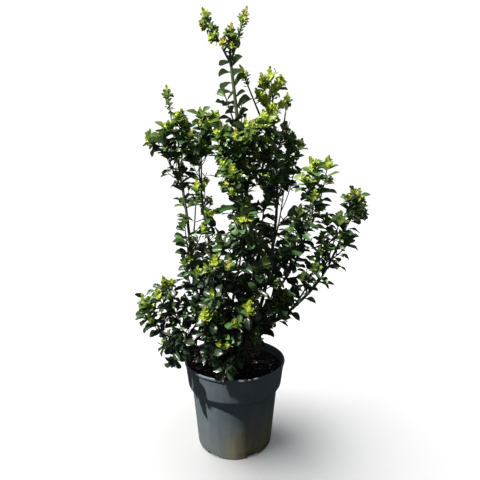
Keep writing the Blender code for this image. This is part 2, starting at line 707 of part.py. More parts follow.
def main():
    clear_scene()
    plastic = material("pot_plastic", (0.075, 0.105, 0.125), 0.55)
    earth = material("soil_earth", (0.022, 0.016, 0.012), 0.95)
    bark = material("stem_bark", (0.085, 0.090, 0.045), 0.70)
    leaf_green = material("leaf_green", (0.035, 0.085, 0.022), 0.35)
    build_pot(plastic)
    build_soil(earth)
    limbs = {"stem_foot": build_foot(bark)}
    for name, (parent, share, start_radius, tip_radius, bends) in LIMBS.items():
        limbs[name] = build_limb(name, bark, limbs[parent], share, start_radius, tip_radius, bends)
    build_foliage(limbs, leaf_green)


main()
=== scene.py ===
"""Looks of the potted holly shrub, laid out as a Blender add-on.

Metres, +Z up. The origin is the middle of the pot's flat underside, -Y is the
front of the plant and +X is the side of its long low shoot.
"""

import json
import math
import random

import bpy
import bmesh
import numpy as np
from bpy.props import FloatProperty, FloatVectorProperty, IntProperty, PointerProperty
from mathutils import Matrix, Vector, noise

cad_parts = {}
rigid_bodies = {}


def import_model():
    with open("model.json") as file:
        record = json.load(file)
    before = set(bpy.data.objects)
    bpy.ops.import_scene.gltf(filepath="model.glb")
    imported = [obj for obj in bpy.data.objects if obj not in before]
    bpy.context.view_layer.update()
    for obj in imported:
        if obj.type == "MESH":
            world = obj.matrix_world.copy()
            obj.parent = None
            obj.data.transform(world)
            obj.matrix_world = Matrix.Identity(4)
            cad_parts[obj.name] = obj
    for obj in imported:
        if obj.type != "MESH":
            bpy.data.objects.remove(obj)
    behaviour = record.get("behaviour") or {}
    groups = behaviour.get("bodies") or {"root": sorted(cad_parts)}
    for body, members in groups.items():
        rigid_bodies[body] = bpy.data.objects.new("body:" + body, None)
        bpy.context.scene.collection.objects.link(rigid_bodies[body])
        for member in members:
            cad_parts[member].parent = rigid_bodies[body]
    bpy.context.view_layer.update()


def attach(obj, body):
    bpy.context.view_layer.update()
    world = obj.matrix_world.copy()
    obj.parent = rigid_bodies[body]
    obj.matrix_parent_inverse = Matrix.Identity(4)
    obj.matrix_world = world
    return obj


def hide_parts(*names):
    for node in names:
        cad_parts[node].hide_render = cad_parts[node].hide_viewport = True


bl_info = {
    "name": "Potted holly shrub",
    "version": (1, 0, 0),
    "blender": (4, 5, 0),
    "location": "3D View > Sidebar > Holly",
    "description": "Dresses a young holly shrub in a nursery pot around its solid model",
    "category": "Object",
}

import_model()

GOLDEN_ANGLE = math.radians(137.5)

# Woody limbs: parent, share of the parent's length where it starts, radius at
# the start and at the tip, and the places that it bends through
LIMB_TAPER = 0.8
LIMBS = {
    "stem_leader": ("stem_foot", 0.98, 0.0060, 0.0034, (
        (0.006, 0.002, 0.290), (0.032, 0.000, 0.430), (0.030, 0.000, 0.550),
        (0.007, 0.000, 0.745), (-0.009, 0.003, 0.878))),
    "stem_left": ("stem_foot", 0.64, 0.0050, 0.0024, (
        (-0.046, -0.004, 0.262), (-0.086, -0.010, 0.344), (-0.098, -0.020, 0.452),
        (-0.108, -0.020, 0.540), (-0.120, -0.018, 0.613))),
    "stem_right": ("stem_foot", 0.62, 0.0050, 0.0024, (
        (0.048, 0.020, 0.264), (0.084, 0.028, 0.410), (0.101, 0.034, 0.560),
        (0.095, 0.040, 0.710))),
    "stem_far_right": ("stem_foot", 0.52, 0.0044, 0.0020, (
        (0.038, -0.030, 0.243), (0.067, -0.048, 0.284), (0.120, -0.058, 0.323),
        (0.172, -0.056, 0.374), (0.206, -0.048, 0.422), (0.238, -0.040, 0.488))),
    "stem_front": ("stem_foot", 0.48, 0.0042, 0.0022, (
        (-0.004, -0.042, 0.262), (-0.006, -0.070, 0.325), (0.010, -0.086, 0.420))),
    "stem_back_left": ("stem_foot", 0.60, 0.0044, 0.0022, (
        (-0.032, 0.050, 0.285), (-0.062, 0.096, 0.400), (-0.076, 0.118, 0.500))),
    "stem_back_right": ("stem_foot", 0.24, 0.0044, 0.0022, (
        (0.026, 0.060, 0.290), (0.060, 0.112, 0.410), (0.074, 0.136, 0.520))),
    "stem_low_left": ("stem_foot", 0.34, 0.0038, 0.0020, (
        (-0.052, -0.024, 0.222), (-0.112, -0.044, 0.238), (-0.146, -0.054, 0.264))),
    "bough_left_inner": ("stem_left", 0.16, 0.0040, 0.0022, (
        (-0.056, 0.018, 0.360), (-0.054, 0.022, 0.430), (-0.072, 0.030, 0.524),
        (-0.083, 0.030, 0.620))),
    "bough_right_outer": ("stem_far_right", 0.20, 0.0040, 0.0020, (
        (0.096, -0.024, 0.356), (0.125, -0.020, 0.402), (0.150, -0.028, 0.458),
        (0.168, -0.030, 0.520))),
}

# Foliage masses: the limb that carries it, the share of the limb's length
# where its shoot starts (1 is the limb's tip), the place of its tip, and how
# far its twigs and leaves spread, as a share of a full mass
MASSES = {
    "foliage_spire_centre": ("stem_leader", 1.0, (-0.008, -0.004, 0.930), 0.55),
    "foliage_spire_left": ("stem_leader", 0.985, (-0.066, 0.034, 0.988), 0.40),
    "foliage_spire_right": ("stem_leader", 0.99, (0.021, -0.026, 0.951), 0.35),
    "foliage_leader_high_left": ("stem_leader", 0.74, (-0.021, -0.018, 0.794), 0.30),
    "foliage_leader_high_right": ("stem_leader", 0.69, (0.016, 0.020, 0.778), 0.30),
    "foliage_leader_mid_left": ("stem_leader", 0.52, (-0.027, -0.040, 0.711), 1.0),
    "foliage_leader_mid_right": ("stem_leader", 0.54, (0.034, -0.045, 0.694), 1.0),
    "foliage_leader_low_front": ("stem_leader", 0.37, (-0.003, -0.078, 0.612), 1.0),
    "foliage_right_top": ("stem_right", 1.0, (0.084, 0.034, 0.851), 0.90),
    "foliage_right_top_left": ("stem_right", 0.95, (0.020, 0.000, 0.844), 0.25),
    "foliage_right_top_right": ("stem_right", 0.92, (0.128, 0.078, 0.812), 0.45),
    "foliage_right_high_right": ("stem_right", 0.74, (0.137, 0.050, 0.708), 0.62),
    "foliage_right_high_front": ("stem_right", 0.74, (0.065, -0.040, 0.730), 0.90),
    "foliage_right_mid_right": ("stem_right", 0.52, (0.128, 0.084, 0.639), 0.75),
    "foliage_outer_top": ("bough_right_outer", 1.0, (0.166, -0.050, 0.632), 0.80),
    "foliage_outer_top_right": ("bough_right_outer", 0.90, (0.214, 0.010, 0.644), 0.65),
    "foliage_outer_mid": ("bough_right_outer", 0.50, (0.137, -0.074, 0.534), 0.90),
    "foliage_far_top": ("stem_far_right", 1.0, (0.268, -0.034, 0.564), 0.85),
    "foliage_far_mid": ("stem_far_right", 0.64, (0.222, -0.064, 0.517), 0.75),
    "foliage_far_low": ("stem_far_right", 0.48, (0.176, -0.080, 0.448), 0.75),
    "foliage_far_front": ("stem_far_right", 0.22, (0.102, -0.096, 0.363), 0.85),
    "foliage_left_top": ("stem_left", 1.0, (-0.115, -0.040, 0.732), 0.90),
    "foliage_left_top_outer": ("stem_left", 0.95, (-0.158, -0.010, 0.703), 0.64),
    "foliage_left_top_spire": ("stem_left", 0.90, (-0.159, 0.044, 0.818), 0.35),
    "foliage_left_high": ("stem_left", 0.74, (-0.122, 0.020, 0.636), 0.50),
    "foliage_left_mid": ("stem_left", 0.50, (-0.107, -0.052, 0.512), 0.45),
    "foliage_left_low": ("stem_left", 0.28, (-0.111, -0.036, 0.427), 0.60),
    "foliage_left_front": ("stem_left", 0.62, (-0.081, -0.050, 0.589), 0.60),
    "foliage_inner_top": ("bough_left_inner", 1.0, (-0.051, 0.050, 0.760), 1.0),
    "foliage_inner_right": ("bough_left_inner", 0.90, (-0.075, 0.000, 0.683), 0.75),
    "foliage_low_left_tip": ("stem_low_left", 1.0, (-0.193, -0.060, 0.339), 0.95),
    "foliage_low_left_high": ("stem_low_left", 0.60, (-0.153, -0.040, 0.374), 1.0),
    "foliage_low_left_edge": ("stem_low_left", 0.56, (-0.136, -0.096, 0.262), 0.95),
    "foliage_front_top": ("stem_front", 1.0, (0.020, -0.108, 0.524), 1.0),
    "foliage_front_left": ("stem_front", 0.70, (-0.034, -0.118, 0.432), 1.0),
    "foliage_front_right": ("stem_front", 0.58, (0.060, -0.102, 0.430), 1.0),
    "foliage_front_low": ("stem_front", 0.30, (0.028, -0.126, 0.344), 1.1),
    "foliage_front_low_left": ("stem_front", 0.22, (-0.054, -0.108, 0.326), 1.0),
    "foliage_foot_front": ("stem_front", 0.10, (-0.022, -0.104, 0.262), 1.0),
    "foliage_foot_left": ("stem_left", 0.08, (-0.090, -0.034, 0.316), 1.0),
    "foliage_foot_right": ("stem_right", 0.08, (0.066, -0.002, 0.300), 0.85),
    "foliage_foot_back": ("stem_back_right", 0.10, (0.008, 0.096, 0.330), 1.0),
    "foliage_back_left_top": ("stem_back_left", 1.0, (-0.082, 0.134, 0.606), 1.0),
    "foliage_back_left_low": ("stem_back_left", 0.50, (-0.118, 0.118, 0.430), 1.0),
    "foliage_back_right_top": ("stem_back_right", 1.0, (0.084, 0.146, 0.630), 1.0),
    "foliage_back_right_low": ("stem_back_right", 0.46, (0.130, 0.116, 0.450), 1.0),
    "foliage_back_high": ("stem_leader", 0.445, (0.008, 0.098, 0.696), 1.05),
}

# Masses whose own tip stays in the shade of their neighbours; their tip rosettes take the darker fresh green in place
# of the bright young colour, a painted shade
SHADED = (
    "foliage_leader_mid_left", "foliage_leader_mid_right", "foliage_inner_right", "foliage_left_top_outer",
    "foliage_left_mid", "foliage_left_low", "foliage_foot_left",
)

# Masses with a full, bright rosette at the tip, and how much larger it is
SHOWY = {
    "foliage_low_left_tip": 1.9, "foliage_low_left_high": 1.1, "foliage_foot_front": 1.4,
    "foliage_front_low_left": 1.2, "foliage_front_low": 1.2, "foliage_front_left": 1.1,
    "foliage_front_right": 1.0, "foliage_front_top": 1.3,
}

# Side shoots, with a rosette of their own unless they hang low over the rim: the mass they
# belong to, the share of its shoot where they start, and the place of their tip
SIDE_SHOOTS = (
    ("foliage_spire_centre", 0.40, (-0.026, -0.010, 0.910)),
    ("foliage_spire_centre", 0.55, (0.007, 0.012, 0.918)),
    ("foliage_spire_left", 0.66, (-0.076, 0.030, 0.968)),
    ("foliage_spire_left", 0.58, (-0.048, 0.034, 0.958)),
    ("foliage_spire_left", 0.40, (-0.053, 0.016, 0.934)),
    ("foliage_right_top", 0.25, (0.062, 0.020, 0.808)),
    ("foliage_right_top", 0.35, (0.084, 0.004, 0.776)),
    ("foliage_right_top", 0.55, (0.063, 0.044, 0.843)),
    ("foliage_right_top", 0.60, (0.108, 0.044, 0.846)),
    ("foliage_right_high_front", 0.55, (0.088, -0.020, 0.752)),
    ("foliage_right_high_front", 0.45, (0.089, -0.036, 0.710)),
    ("foliage_right_high_front", 0.30, (0.041, -0.046, 0.724)),
    ("foliage_left_top_outer", 0.72, (-0.193, -0.014, 0.700)),
    ("foliage_left_top_outer", 0.50, (-0.150, -0.034, 0.723)),
    ("foliage_left_top", 0.35, (-0.090, -0.050, 0.704)),
    ("foliage_leader_mid_left", 0.45, (0.003, -0.060, 0.704)),
    ("foliage_leader_mid_left", 0.30, (-0.026, -0.062, 0.642)),
    ("foliage_inner_top", 0.60, (-0.080, 0.034, 0.776)),
    ("foliage_inner_top", 0.45, (-0.062, 0.010, 0.743)),
    ("foliage_left_mid", 0.37, (-0.067, -0.046, 0.510)),
    ("foliage_left_low", 0.40, (-0.077, -0.074, 0.418)),
    ("foliage_left_front", 0.45, (-0.047, -0.070, 0.538)),
    ("foliage_front_left", 0.45, (-0.008, -0.130, 0.441)),
    ("foliage_front_low_left", 0.45, (-0.042, -0.122, 0.382)),
    ("foliage_front_low", 0.40, (0.004, -0.142, 0.326)),
    ("foliage_front_low", 0.30, (0.046, -0.122, 0.294)),
    ("foliage_foot_front", 0.50, (-0.012, -0.128, 0.231)),
    ("foliage_foot_front", 0.40, (-0.053, -0.122, 0.257)),
    ("foliage_outer_top", 0.40, (0.146, -0.064, 0.613)),
    ("foliage_outer_mid", 0.45, (0.168, -0.072, 0.579)),
    ("foliage_low_left_high", 0.45, (-0.162, -0.078, 0.369)),
    ("foliage_low_left_edge", 0.35, (-0.178, -0.086, 0.316)),
    ("foliage_low_left_edge", 0.60, (-0.118, -0.106, 0.234)),
    ("foliage_far_mid", 0.40, (0.254, -0.050, 0.486)),
    ("foliage_far_low", 0.45, (0.147, -0.084, 0.409)),
    ("foliage_front_right", 0.45, (0.088, -0.108, 0.399)),
    ("foliage_right_mid_right", 0.45, (0.153, 0.060, 0.684)),
    ("foliage_right_high_right", 0.45, (0.159, 0.040, 0.706)),
    ("foliage_right_top_right", 0.40, (0.140, 0.104, 0.768)),
    ("foliage_foot_front", 0.60, (-0.029, -0.122, 0.211)),
    ("foliage_foot_right", 0.45, (0.058, -0.080, 0.259)),
    ("foliage_front_top", 0.30, (-0.033, -0.070, 0.477)),
    ("foliage_front_top", 0.34, (0.067, -0.060, 0.470)),
    ("foliage_right_mid_right", 0.30, (0.135, 0.040, 0.545)),
    ("foliage_far_mid", 0.30, (0.189, -0.050, 0.490)),
    ("foliage_far_mid", 0.55, (0.199, -0.052, 0.529)),
    ("foliage_far_top", 0.50, (0.284, -0.034, 0.538)),
    ("foliage_back_high", 0.50, (-0.034, 0.060, 0.711)),
    ("foliage_back_high", 0.60, (0.044, 0.128, 0.664)),
    ("foliage_back_left_top", 0.50, (-0.128, 0.146, 0.552)),
    ("foliage_back_right_top", 0.50, (0.132, 0.144, 0.570)),
    ("foliage_back_right_top", 0.60, (0.070, 0.172, 0.606)),
    ("foliage_back_left_top", 0.60, (-0.066, 0.162, 0.584)),
    ("foliage_foot_front", 0.55, (-0.016, -0.134, 0.217)),
    ("foliage_far_top", 0.65, (0.284, 0.010, 0.530)),
    ("foliage_front_low_left", 0.38, (-0.012, -0.130, 0.275)),
    ("foliage_low_left_edge", 0.50, (-0.128, -0.098, 0.221)),
    ("foliage_leader_mid_right", 0.60, (0.025, -0.020, 0.737)),
    ("foliage_right_top", 0.70, (0.064, 0.020, 0.846)),
    ("foliage_right_top", 0.62, (0.108, 0.040, 0.851)),
    ("foliage_right_top", 0.45, (0.052, 0.010, 0.809)),
)

# Where the eye looks through or past the crown from the front, as the side
# distance and the height on the middle plane, and the opening's radius
VIEWPOINT = np.array([0.0125, -0.785, 0.537])
OPENINGS = (
    (-0.061, 0.650, 0.0145), (-0.053, 0.590, 0.0175), (-0.030, 0.563, 0.0180),
    (0.050, 0.581, 0.0160), (-0.094, 0.538, 0.0161), (-0.095, 0.510, 0.0138),
    (0.122, 0.565, 0.0207), (0.110, 0.538, 0.0138), (0.077, 0.356, 0.0117),
    (0.063, 0.327, 0.0094), (-0.005, 0.339, 0.0094), (0.023, 0.368, 0.0070),
    (-0.177, 0.649, 0.022), (0.159, 0.651, 0.014), (0.174, 0.313, 0.013),
    (0.129, 0.736, 0.011), (-0.202, 0.233, 0.016), (0.078, 0.235, 0.013), (0.106, 0.262, 0.014),
)


class PotSettings(bpy.types.PropertyGroup):
    height: FloatProperty(
        name="Height", description="Underside to rim", default=0.195, unit="LENGTH")
    rim_radius: FloatProperty(
        name="Rim radius", description="Outer radius of the lip", default=0.118, unit="LENGTH")
    wall: FloatProperty(
        name="Wall", description="Thickness of the plastic", default=0.0018, unit="LENGTH")
    plastic: FloatVectorProperty(
        name="Plastic", description="Colour of the pot where it is clean",
        default=(0.108, 0.148, 0.178), subtype="COLOR", min=0.0, max=1.0)
    # Lighter than the plastic: partly an algae film, partly painted bounce light on the pot's shaded side
    algae: FloatVectorProperty(
        name="Algae", description="Colour of the film low on the pot",
        default=(0.380, 0.320, 0.130), subtype="COLOR", min=0.0, max=1.0)


class SoilSettings(bpy.types.PropertyGroup):
    level: FloatProperty(
        name="Level", description="Height of the compost", default=0.175, unit="LENGTH")
    roughness: FloatProperty(
        name="Lumps", description="Height of the lumps", default=0.0050, unit="LENGTH")
    perlite_count: IntProperty(
        name="Perlite", description="How many white grains lie on top", default=64, min=0)
    chip_count: IntProperty(
        name="Bark chips", description="How many bits of bark and dry leaf lie on top",
        default=150, min=0)
    crumb_count: IntProperty(
        name="Crumbs", description="How many loose crumbs lie on top", default=900, min=0)
    # Near black: the damp compost's own dark colour, darkened further as painted shade of the crown above it
    compost: FloatVectorProperty(
        name="Compost", description="Colour of the damp compost",
        default=(0.0040, 0.0034, 0.0032), subtype="COLOR", min=0.0, max=1.0)


class StemSettings(bpy.types.PropertyGroup):
    foot_radius: FloatProperty(
        name="Foot radius", description="Radius at the top of the woody foot",
        default=0.011, unit="LENGTH")
    node_spacing: FloatProperty(
        name="Leaf scars", description="Distance between leaf scars on the stems",
        default=0.011, unit="LENGTH")
    old_bark: FloatVectorProperty(
        name="Old bark", description="Colour of the bark near the soil",
        default=(0.205, 0.195, 0.145), subtype="COLOR", min=0.0, max=1.0)
    young_bark: FloatVectorProperty(
        name="Young bark", description="Colour of the green shoots",
        default=(0.065, 0.090, 0.045), subtype="COLOR", min=0.0, max=1.0)


class LeafSettings(bpy.types.PropertyGroup):
    length: FloatProperty(
        name="Length", description="Length of a grown leaf", default=0.040, unit="LENGTH")
    width: FloatProperty(
        name="Width", description="Width of a leaf as a share of its length", default=0.52)
    spacing: FloatProperty(
        name="Spacing", description="Distance between leaves along a shoot",
        default=0.0088, unit="LENGTH")
    rosette_leaves: IntProperty(
        name="Rosette leaves", description="How many leaves a tip rosette has", default=22, min=3)
    old_green: FloatVectorProperty(
        name="Old leaves", description="Colour of the oldest leaves",
        default=(0.016, 0.036, 0.013), subtype="COLOR", min=0.0, max=1.0)
    grown_green: FloatVectorProperty(
        name="Grown leaves", description="Colour of last year's leaves",
        default=(0.066, 0.150, 0.042), subtype="COLOR", min=0.0, max=1.0)
    fresh_green: FloatVectorProperty(
        name="Fresh leaves", description="Colour of this year's opened leaves",
        default=(0.162, 0.284, 0.052), subtype="COLOR", min=0.0, max=1.0)
    new_green: FloatVectorProperty(
        name="New leaves", description="Colour of the young leaves at the tips",
        default=(0.590, 0.670, 0.120), subtype="COLOR", min=0.0, max=1.0)
    blush: FloatVectorProperty(
        name="Blushed leaves", description="Colour of the youngest leaves in sun",
        default=(0.700, 0.590, 0.180), subtype="COLOR", min=0.0, max=1.0)


class StageSettings(bpy.types.PropertyGroup):
    sun_strength: FloatProperty(name="Sun", description="Strength of the main light", default=8.2)
    sun_elevation: FloatProperty(
        name="Sun height", description="Angle of the main light above the floor",
        default=math.radians(57), subtype="ANGLE")
    sun_side: FloatProperty(
        name="Sun side", description="Angle of the main light to the left of the camera",
        default=math.radians(64), subtype="ANGLE")
    sky_strength: FloatProperty(
        name="Sky", description="Strength of the light from all round", default=0.105)
    sheen_strength: FloatProperty(
        name="Sheen", description="Brightness of the sky that glossy leaves reflect", default=0.5)
    camera_pitch: FloatProperty(
        name="Camera pitch", description="How far the camera looks down",
        default=math.radians(4.64), subtype="ANGLE")
    lens: FloatProperty(name="Lens", description="Focal length in millimetres", default=25.5)


# Node helpers


def socket(group, name, kind, out=False, default=None):
    """Adds a socket to a node group."""
    made = group.interface.new_socket(name, in_out="OUTPUT" if out else "INPUT", socket_type=kind)
    if default is not None:
        made.default_value = default
    return made


class Wiring:
    """Adds nodes to a tree and joins them, to keep each material short."""

    def __init__(self, tree):
        self.tree = tree

    def node(self, kind, settings=None, **inputs):
        made = self.tree.nodes.new(kind)
        for key, value in (settings or {}).items():
            setattr(made, key, value)
        for key, value in inputs.items():
            self.feed(made, key.replace("_", " "), value)
        return made

    def feed(self, node, key, value):
        """Joins a socket to an input, or sets the input to a plain value."""
        target = node.inputs[int(key)] if key.isdigit() else node.inputs[key]
        if isinstance(value, bpy.types.NodeSocket):
            self.tree.links.new(value, target)
        else:
            target.default_value = value

    def maths(self, operation, first, second=0.0, third=0.0, clamp=False):
        node = self.tree.nodes.new("ShaderNodeMath")
        node.operation = operation
        node.use_clamp = clamp
        for i, value in enumerate((first, second, third)):
            self.feed(node, str(i), value)
        return node.outputs[0]

    def ramp(self, value, low, high, to_low=0.0, to_high=1.0):
        """Smooth step of a value from low to high."""
        node = self.tree.nodes.new("ShaderNodeMapRange")
        node.interpolation_type = "SMOOTHSTEP"
        for i, number in enumerate((value, low, high, to_low, to_high)):
            self.feed(node, str(i), number)
        return node.outputs[0]

    def mix(self, share, first, second, blend="MIX"):
        node = self.tree.nodes.new("ShaderNodeMix")
        node.data_type = "RGBA"
        node.blend_type = blend
        self.feed(node, "0", share)
        self.feed(node, "6", first)
        self.feed(node, "7", second)
        return node.outputs[2]

    def noise(self, vector, scale, detail=3.0, roughness=0.55):
        node = self.tree.nodes.new("ShaderNodeTexNoise")
        self.feed(node, "Vector", vector)
        self.feed(node, "Scale", scale)
        self.feed(node, "Detail", detail)
        self.feed(node, "Roughness", roughness)
        return node.outputs["Fac"]

    def place(self, scale=(1.0, 1.0, 1.0)):
        """Object coordinates, stretched."""
        coordinates = self.tree.nodes.new("ShaderNodeTexCoord")
        mapping = self.tree.nodes.new("ShaderNodeMapping")
        self.feed(mapping, "Vector", coordinates.outputs["Object"])
        self.feed(mapping, "Scale", scale)
        return mapping.outputs["Vector"]

    def height_of(self):
        """Height above the pot's underside."""
        coordinates = self.tree.nodes.new("ShaderNodeTexCoord")
        parts = self.tree.nodes.new("ShaderNodeSeparateXYZ")
        self.feed(parts, "0", coordinates.outputs["Object"])
        return parts.outputs

    def group(self, name, **inputs):
        node = self.tree.nodes.new("ShaderNodeGroup")
        node.node_tree = bpy.data.node_groups[name]
        for key, value in inputs.items():
            self.feed(node, key.replace("_", " "), value)
        return node.outputs


def new_group(name, inputs, outputs):
    """A node group with its inputs and outputs, and the wiring inside it."""
    group = bpy.data.node_groups.new(name, "ShaderNodeTree")
    for key, kind, default in inputs:
        socket(group, key, kind, default=default)
    for key, kind in outputs:
        socket(group, key, kind, out=True)
    wiring = Wiring(group)
    return wiring, wiring.node("NodeGroupInput").outputs, wiring.node("NodeGroupOutput")


def new_material(name):
    material = bpy.data.materials.new(name)
    material.use_nodes = True
    wiring = Wiring(material.node_tree)
    return material, wiring, material.node_tree.nodes["Principled BSDF"]


def colour(values):
    return (*values, 1.0)


def make_grime_group():
    """Dust and streaks over a plain colour."""
    wiring, given, out = new_group("grime", [
        ("Colour", "NodeSocketColor", (0.1, 0.1, 0.1, 1.0)),
        ("Dust", "NodeSocketColor", (0.3, 0.28, 0.24, 1.0)),
        ("Amount", "NodeSocketFloat", 0.3),
        ("Scale", "NodeSocketFloat", 20.0),
    ], [("Colour", "NodeSocketColor"), ("Mask", "NodeSocketFloat"), ("Height", "NodeSocketFloat")])
    place = wiring.place()
    streaked = wiring.place((1.0, 1.0, 0.09))
    blotches = wiring.noise(place, given["Scale"], 5.0, 0.62)
    streaks = wiring.noise(streaked, wiring.maths("MULTIPLY", given["Scale"], 4.5), 4.0, 0.6)
    fine = wiring.noise(place, wiring.maths("MULTIPLY", given["Scale"], 40.0), 2.0, 0.7)
    both = wiring.maths("MULTIPLY", blotches, streaks)
    mask = wiring.maths("MULTIPLY", wiring.ramp(both, 0.17, 0.36), given["Amount"], clamp=True)
    specks = wiring.maths("MULTIPLY", wiring.ramp(fine, 0.62, 0.72), 0.25)
    mask = wiring.maths("ADD", mask, wiring.maths("MULTIPLY", specks, given["Amount"]), clamp=True)
    wiring.feed(out, "Colour", wiring.mix(mask, given["Colour"], given["Dust"]))
    wiring.feed(out, "Mask", mask)
    wiring.feed(out, "Height", fine)


def make_blade_group():
    """Midrib, side veins and blotches of a leaf, from its UV map and its own tone."""
    wiring, given, out = new_group("leaf_blade", [
        ("Colour", "NodeSocketColor", (0.05, 0.1, 0.03, 1.0)),
        ("Vein", "NodeSocketColor", (0.12, 0.16, 0.05, 1.0)),
        ("Vein Strength", "NodeSocketFloat", 0.5),
        ("Variation", "NodeSocketFloat", 0.4),
    ], [("Colour", "NodeSocketColor"), ("Height", "NodeSocketFloat"), ("Rib", "NodeSocketFloat")])
    uv = wiring.node("ShaderNodeUVMap").outputs[0]
    parts = wiring.node("ShaderNodeSeparateXYZ")
    wiring.feed(parts, "0", uv)
    across = wiring.maths("ABSOLUTE", wiring.maths("SUBTRACT", parts.outputs[0], 0.5))
    along = parts.outputs[1]
    rib = wiring.ramp(across, 0.012, 0.055, 1.0, 0.0)
    slanted = wiring.maths("SUBTRACT", wiring.maths("MULTIPLY", along, 7.5),
                           wiring.maths("MULTIPLY", across, 3.4))
    wave = wiring.maths("PINGPONG", slanted, 0.5)
    side_veins = wiring.maths("MULTIPLY", wiring.ramp(wave, 0.0, 0.07, 1.0, 0.0),
                              wiring.ramp(across, 0.30, 0.47, 0.55, 0.0))
    veins = wiring.maths("MAXIMUM", rib, side_veins)
    tone = wiring.node("ShaderNodeAttribute", {"attribute_name": "leaf_tone"}).outputs["Fac"]
    blotches = wiring.noise(wiring.place(), 55.0, 3.0)
    value = wiring.maths("ADD", wiring.maths("SUBTRACT", tone, 0.5),
                         wiring.maths("MULTIPLY", wiring.maths("SUBTRACT", blotches, 0.5), 0.8))
    value = wiring.maths("ADD", wiring.maths("MULTIPLY", value, given["Variation"]), 1.0)
    shaded = wiring.node("ShaderNodeHueSaturation", Color=given["Colour"], Value=value)
    hue = wiring.maths("ADD", wiring.maths("MULTIPLY", wiring.maths("SUBTRACT", tone, 0.5), -0.035), 0.5)
    wiring.feed(shaded, "Hue", hue)
    veined = wiring.mix(wiring.maths("MULTIPLY", veins, given["Vein Strength"]),
                        shaded.outputs[0], given["Vein"])
    edge = wiring.ramp(across, 0.44, 0.5, 0.0, 0.35)
    wiring.feed(out, "Colour", wiring.mix(edge, veined, given["Vein"]))
    relief = wiring.maths("SUBTRACT", wiring.maths("MULTIPLY", wave, 0.6),
                          wiring.maths("MULTIPLY", veins, 0.7))
    wiring.feed(out, "Height", relief)
    wiring.feed(out, "Rib", rib)


def make_bark_group():
    """Streaked bark with pale breathing pores."""
    wiring, given, out = new_group("bark", [
        ("Old", "NodeSocketColor", (0.1, 0.08, 0.05, 1.0)),
        ("Young", "NodeSocketColor", (0.1, 0.12, 0.04, 1.0)),
        ("Age", "NodeSocketFloat", 0.5),
    ], [("Colour", "NodeSocketColor"), ("Height", "NodeSocketFloat")])
    place = wiring.place()
    long_grain = wiring.noise(wiring.place((1.0, 1.0, 0.12)), 900.0, 4.0, 0.65)
    patches = wiring.noise(place, 90.0, 3.0)
    pores = wiring.node("ShaderNodeTexVoronoi", {"feature": "DISTANCE_TO_EDGE"}, Scale=420.0)
    wiring.feed(pores, "Vector", place)
    pore = wiring.ramp(pores.outputs[0], 0.0, 0.10, 1.0, 0.0)
    age = wiring.maths("ADD", given["Age"], wiring.maths("SUBTRACT", patches, 0.5), clamp=True)
    base = wiring.mix(age, given["Young"], given["Old"])
    dark = wiring.mix(wiring.ramp(long_grain, 0.35, 0.6, 0.45, 0.0), base, (0.02, 0.018, 0.012, 1.0))
    pale = wiring.mix(wiring.maths("MULTIPLY", pore, 0.22), dark, (0.28, 0.25, 0.18, 1.0))
    wiring.feed(out, "Colour", pale)
    wiring.feed(out, "Height", wiring.maths("ADD", long_grain, wiring.maths("MULTIPLY", pore, 0.3)))


def bump(wiring, shader, height, strength, distance):
    node = wiring.node("ShaderNodeBump", Height=height, Strength=strength, Distance=distance)
    wiring.feed(shader, "Normal", node.outputs[0])


def pot_material(settings):
    material, wiring, shader = new_material("weathered_plastic_and_fill")
    parts = wiring.height_of()
    place = wiring.place()
    blotches = wiring.noise(place, 16.0, 5.0, 0.6)
    streaks = wiring.noise(wiring.place((1.0, 1.0, 0.10)), 60.0, 4.0, 0.6)
    # The olive film low on the pot, strongest on its right side away from the sun: partly algae, partly painted bounce
    # light that lifts the shade on that side
    low = wiring.ramp(wiring.maths("ADD", parts[2], wiring.maths("MULTIPLY", blotches, 0.10)),
                      0.050, 0.170, 1.0, 0.0)
    side = wiring.ramp(wiring.maths("SUBTRACT", parts[0], wiring.maths("MULTIPLY", parts[1], 0.5)),
                       0.010, 0.075, 0.15, 1.0)
    film_and_fill = wiring.maths("MULTIPLY", wiring.maths("MULTIPLY", low, side),
                        wiring.ramp(streaks, 0.30, 0.62, 0.5, 1.0))
    film_and_fill = wiring.maths("MULTIPLY", film_and_fill, 0.95, clamp=True)
    clean = wiring.mix(wiring.ramp(blotches, 0.35, 0.7), colour(settings.plastic),
                       colour([c * 0.84 for c in settings.plastic]))
    grimed = wiring.group("grime", Colour=clean, Dust=(0.165, 0.190, 0.208, 1.0), Amount=0.42, Scale=22.0)
    filmed = wiring.mix(film_and_fill, grimed["Colour"], colour(settings.algae))
    splash = wiring.maths("MULTIPLY", wiring.ramp(parts[2], 0.004, 0.022, 1.0, 0.0),
                          wiring.ramp(blotches, 0.38, 0.6))
    wiring.feed(shader, "Base Color", wiring.mix(wiring.maths("MULTIPLY", splash, 0.6), filmed,
                                                (0.060, 0.050, 0.034, 1.0)))
    wiring.feed(shader, "Roughness", wiring.maths(
        "ADD", 0.46, wiring.maths("MULTIPLY", wiring.maths("ADD", grimed["Mask"], film_and_fill), 0.22)))
    shader.inputs["Specular IOR Level"].default_value = 0.42
    bump(wiring, shader, grimed["Height"], 0.10, 0.0004)
    return material


def soil_material(name, base, pale, scale, roughness=0.95):
    material, wiring, shader = new_material(name)
    place = wiring.place()
    coarse = wiring.noise(place, scale, 6.0, 0.7)
    fine = wiring.noise(place, scale * 7.0, 4.0, 0.7)
    mixed = wiring.mix(wiring.ramp(coarse, 0.42, 0.72), colour(base), colour(pale))
    wiring.feed(shader, "Base Color", wiring.mix(wiring.ramp(fine, 0.45, 0.62, 0.0, 0.45), mixed,
                                                (0.003, 0.0025, 0.002, 1.0)))
    shader.inputs["Roughness"].default_value = roughness
    shader.inputs["Specular IOR Level"].default_value = 0.25
    bump(wiring, shader, wiring.maths("ADD", coarse, fine), 0.6, 0.0015)
    return material


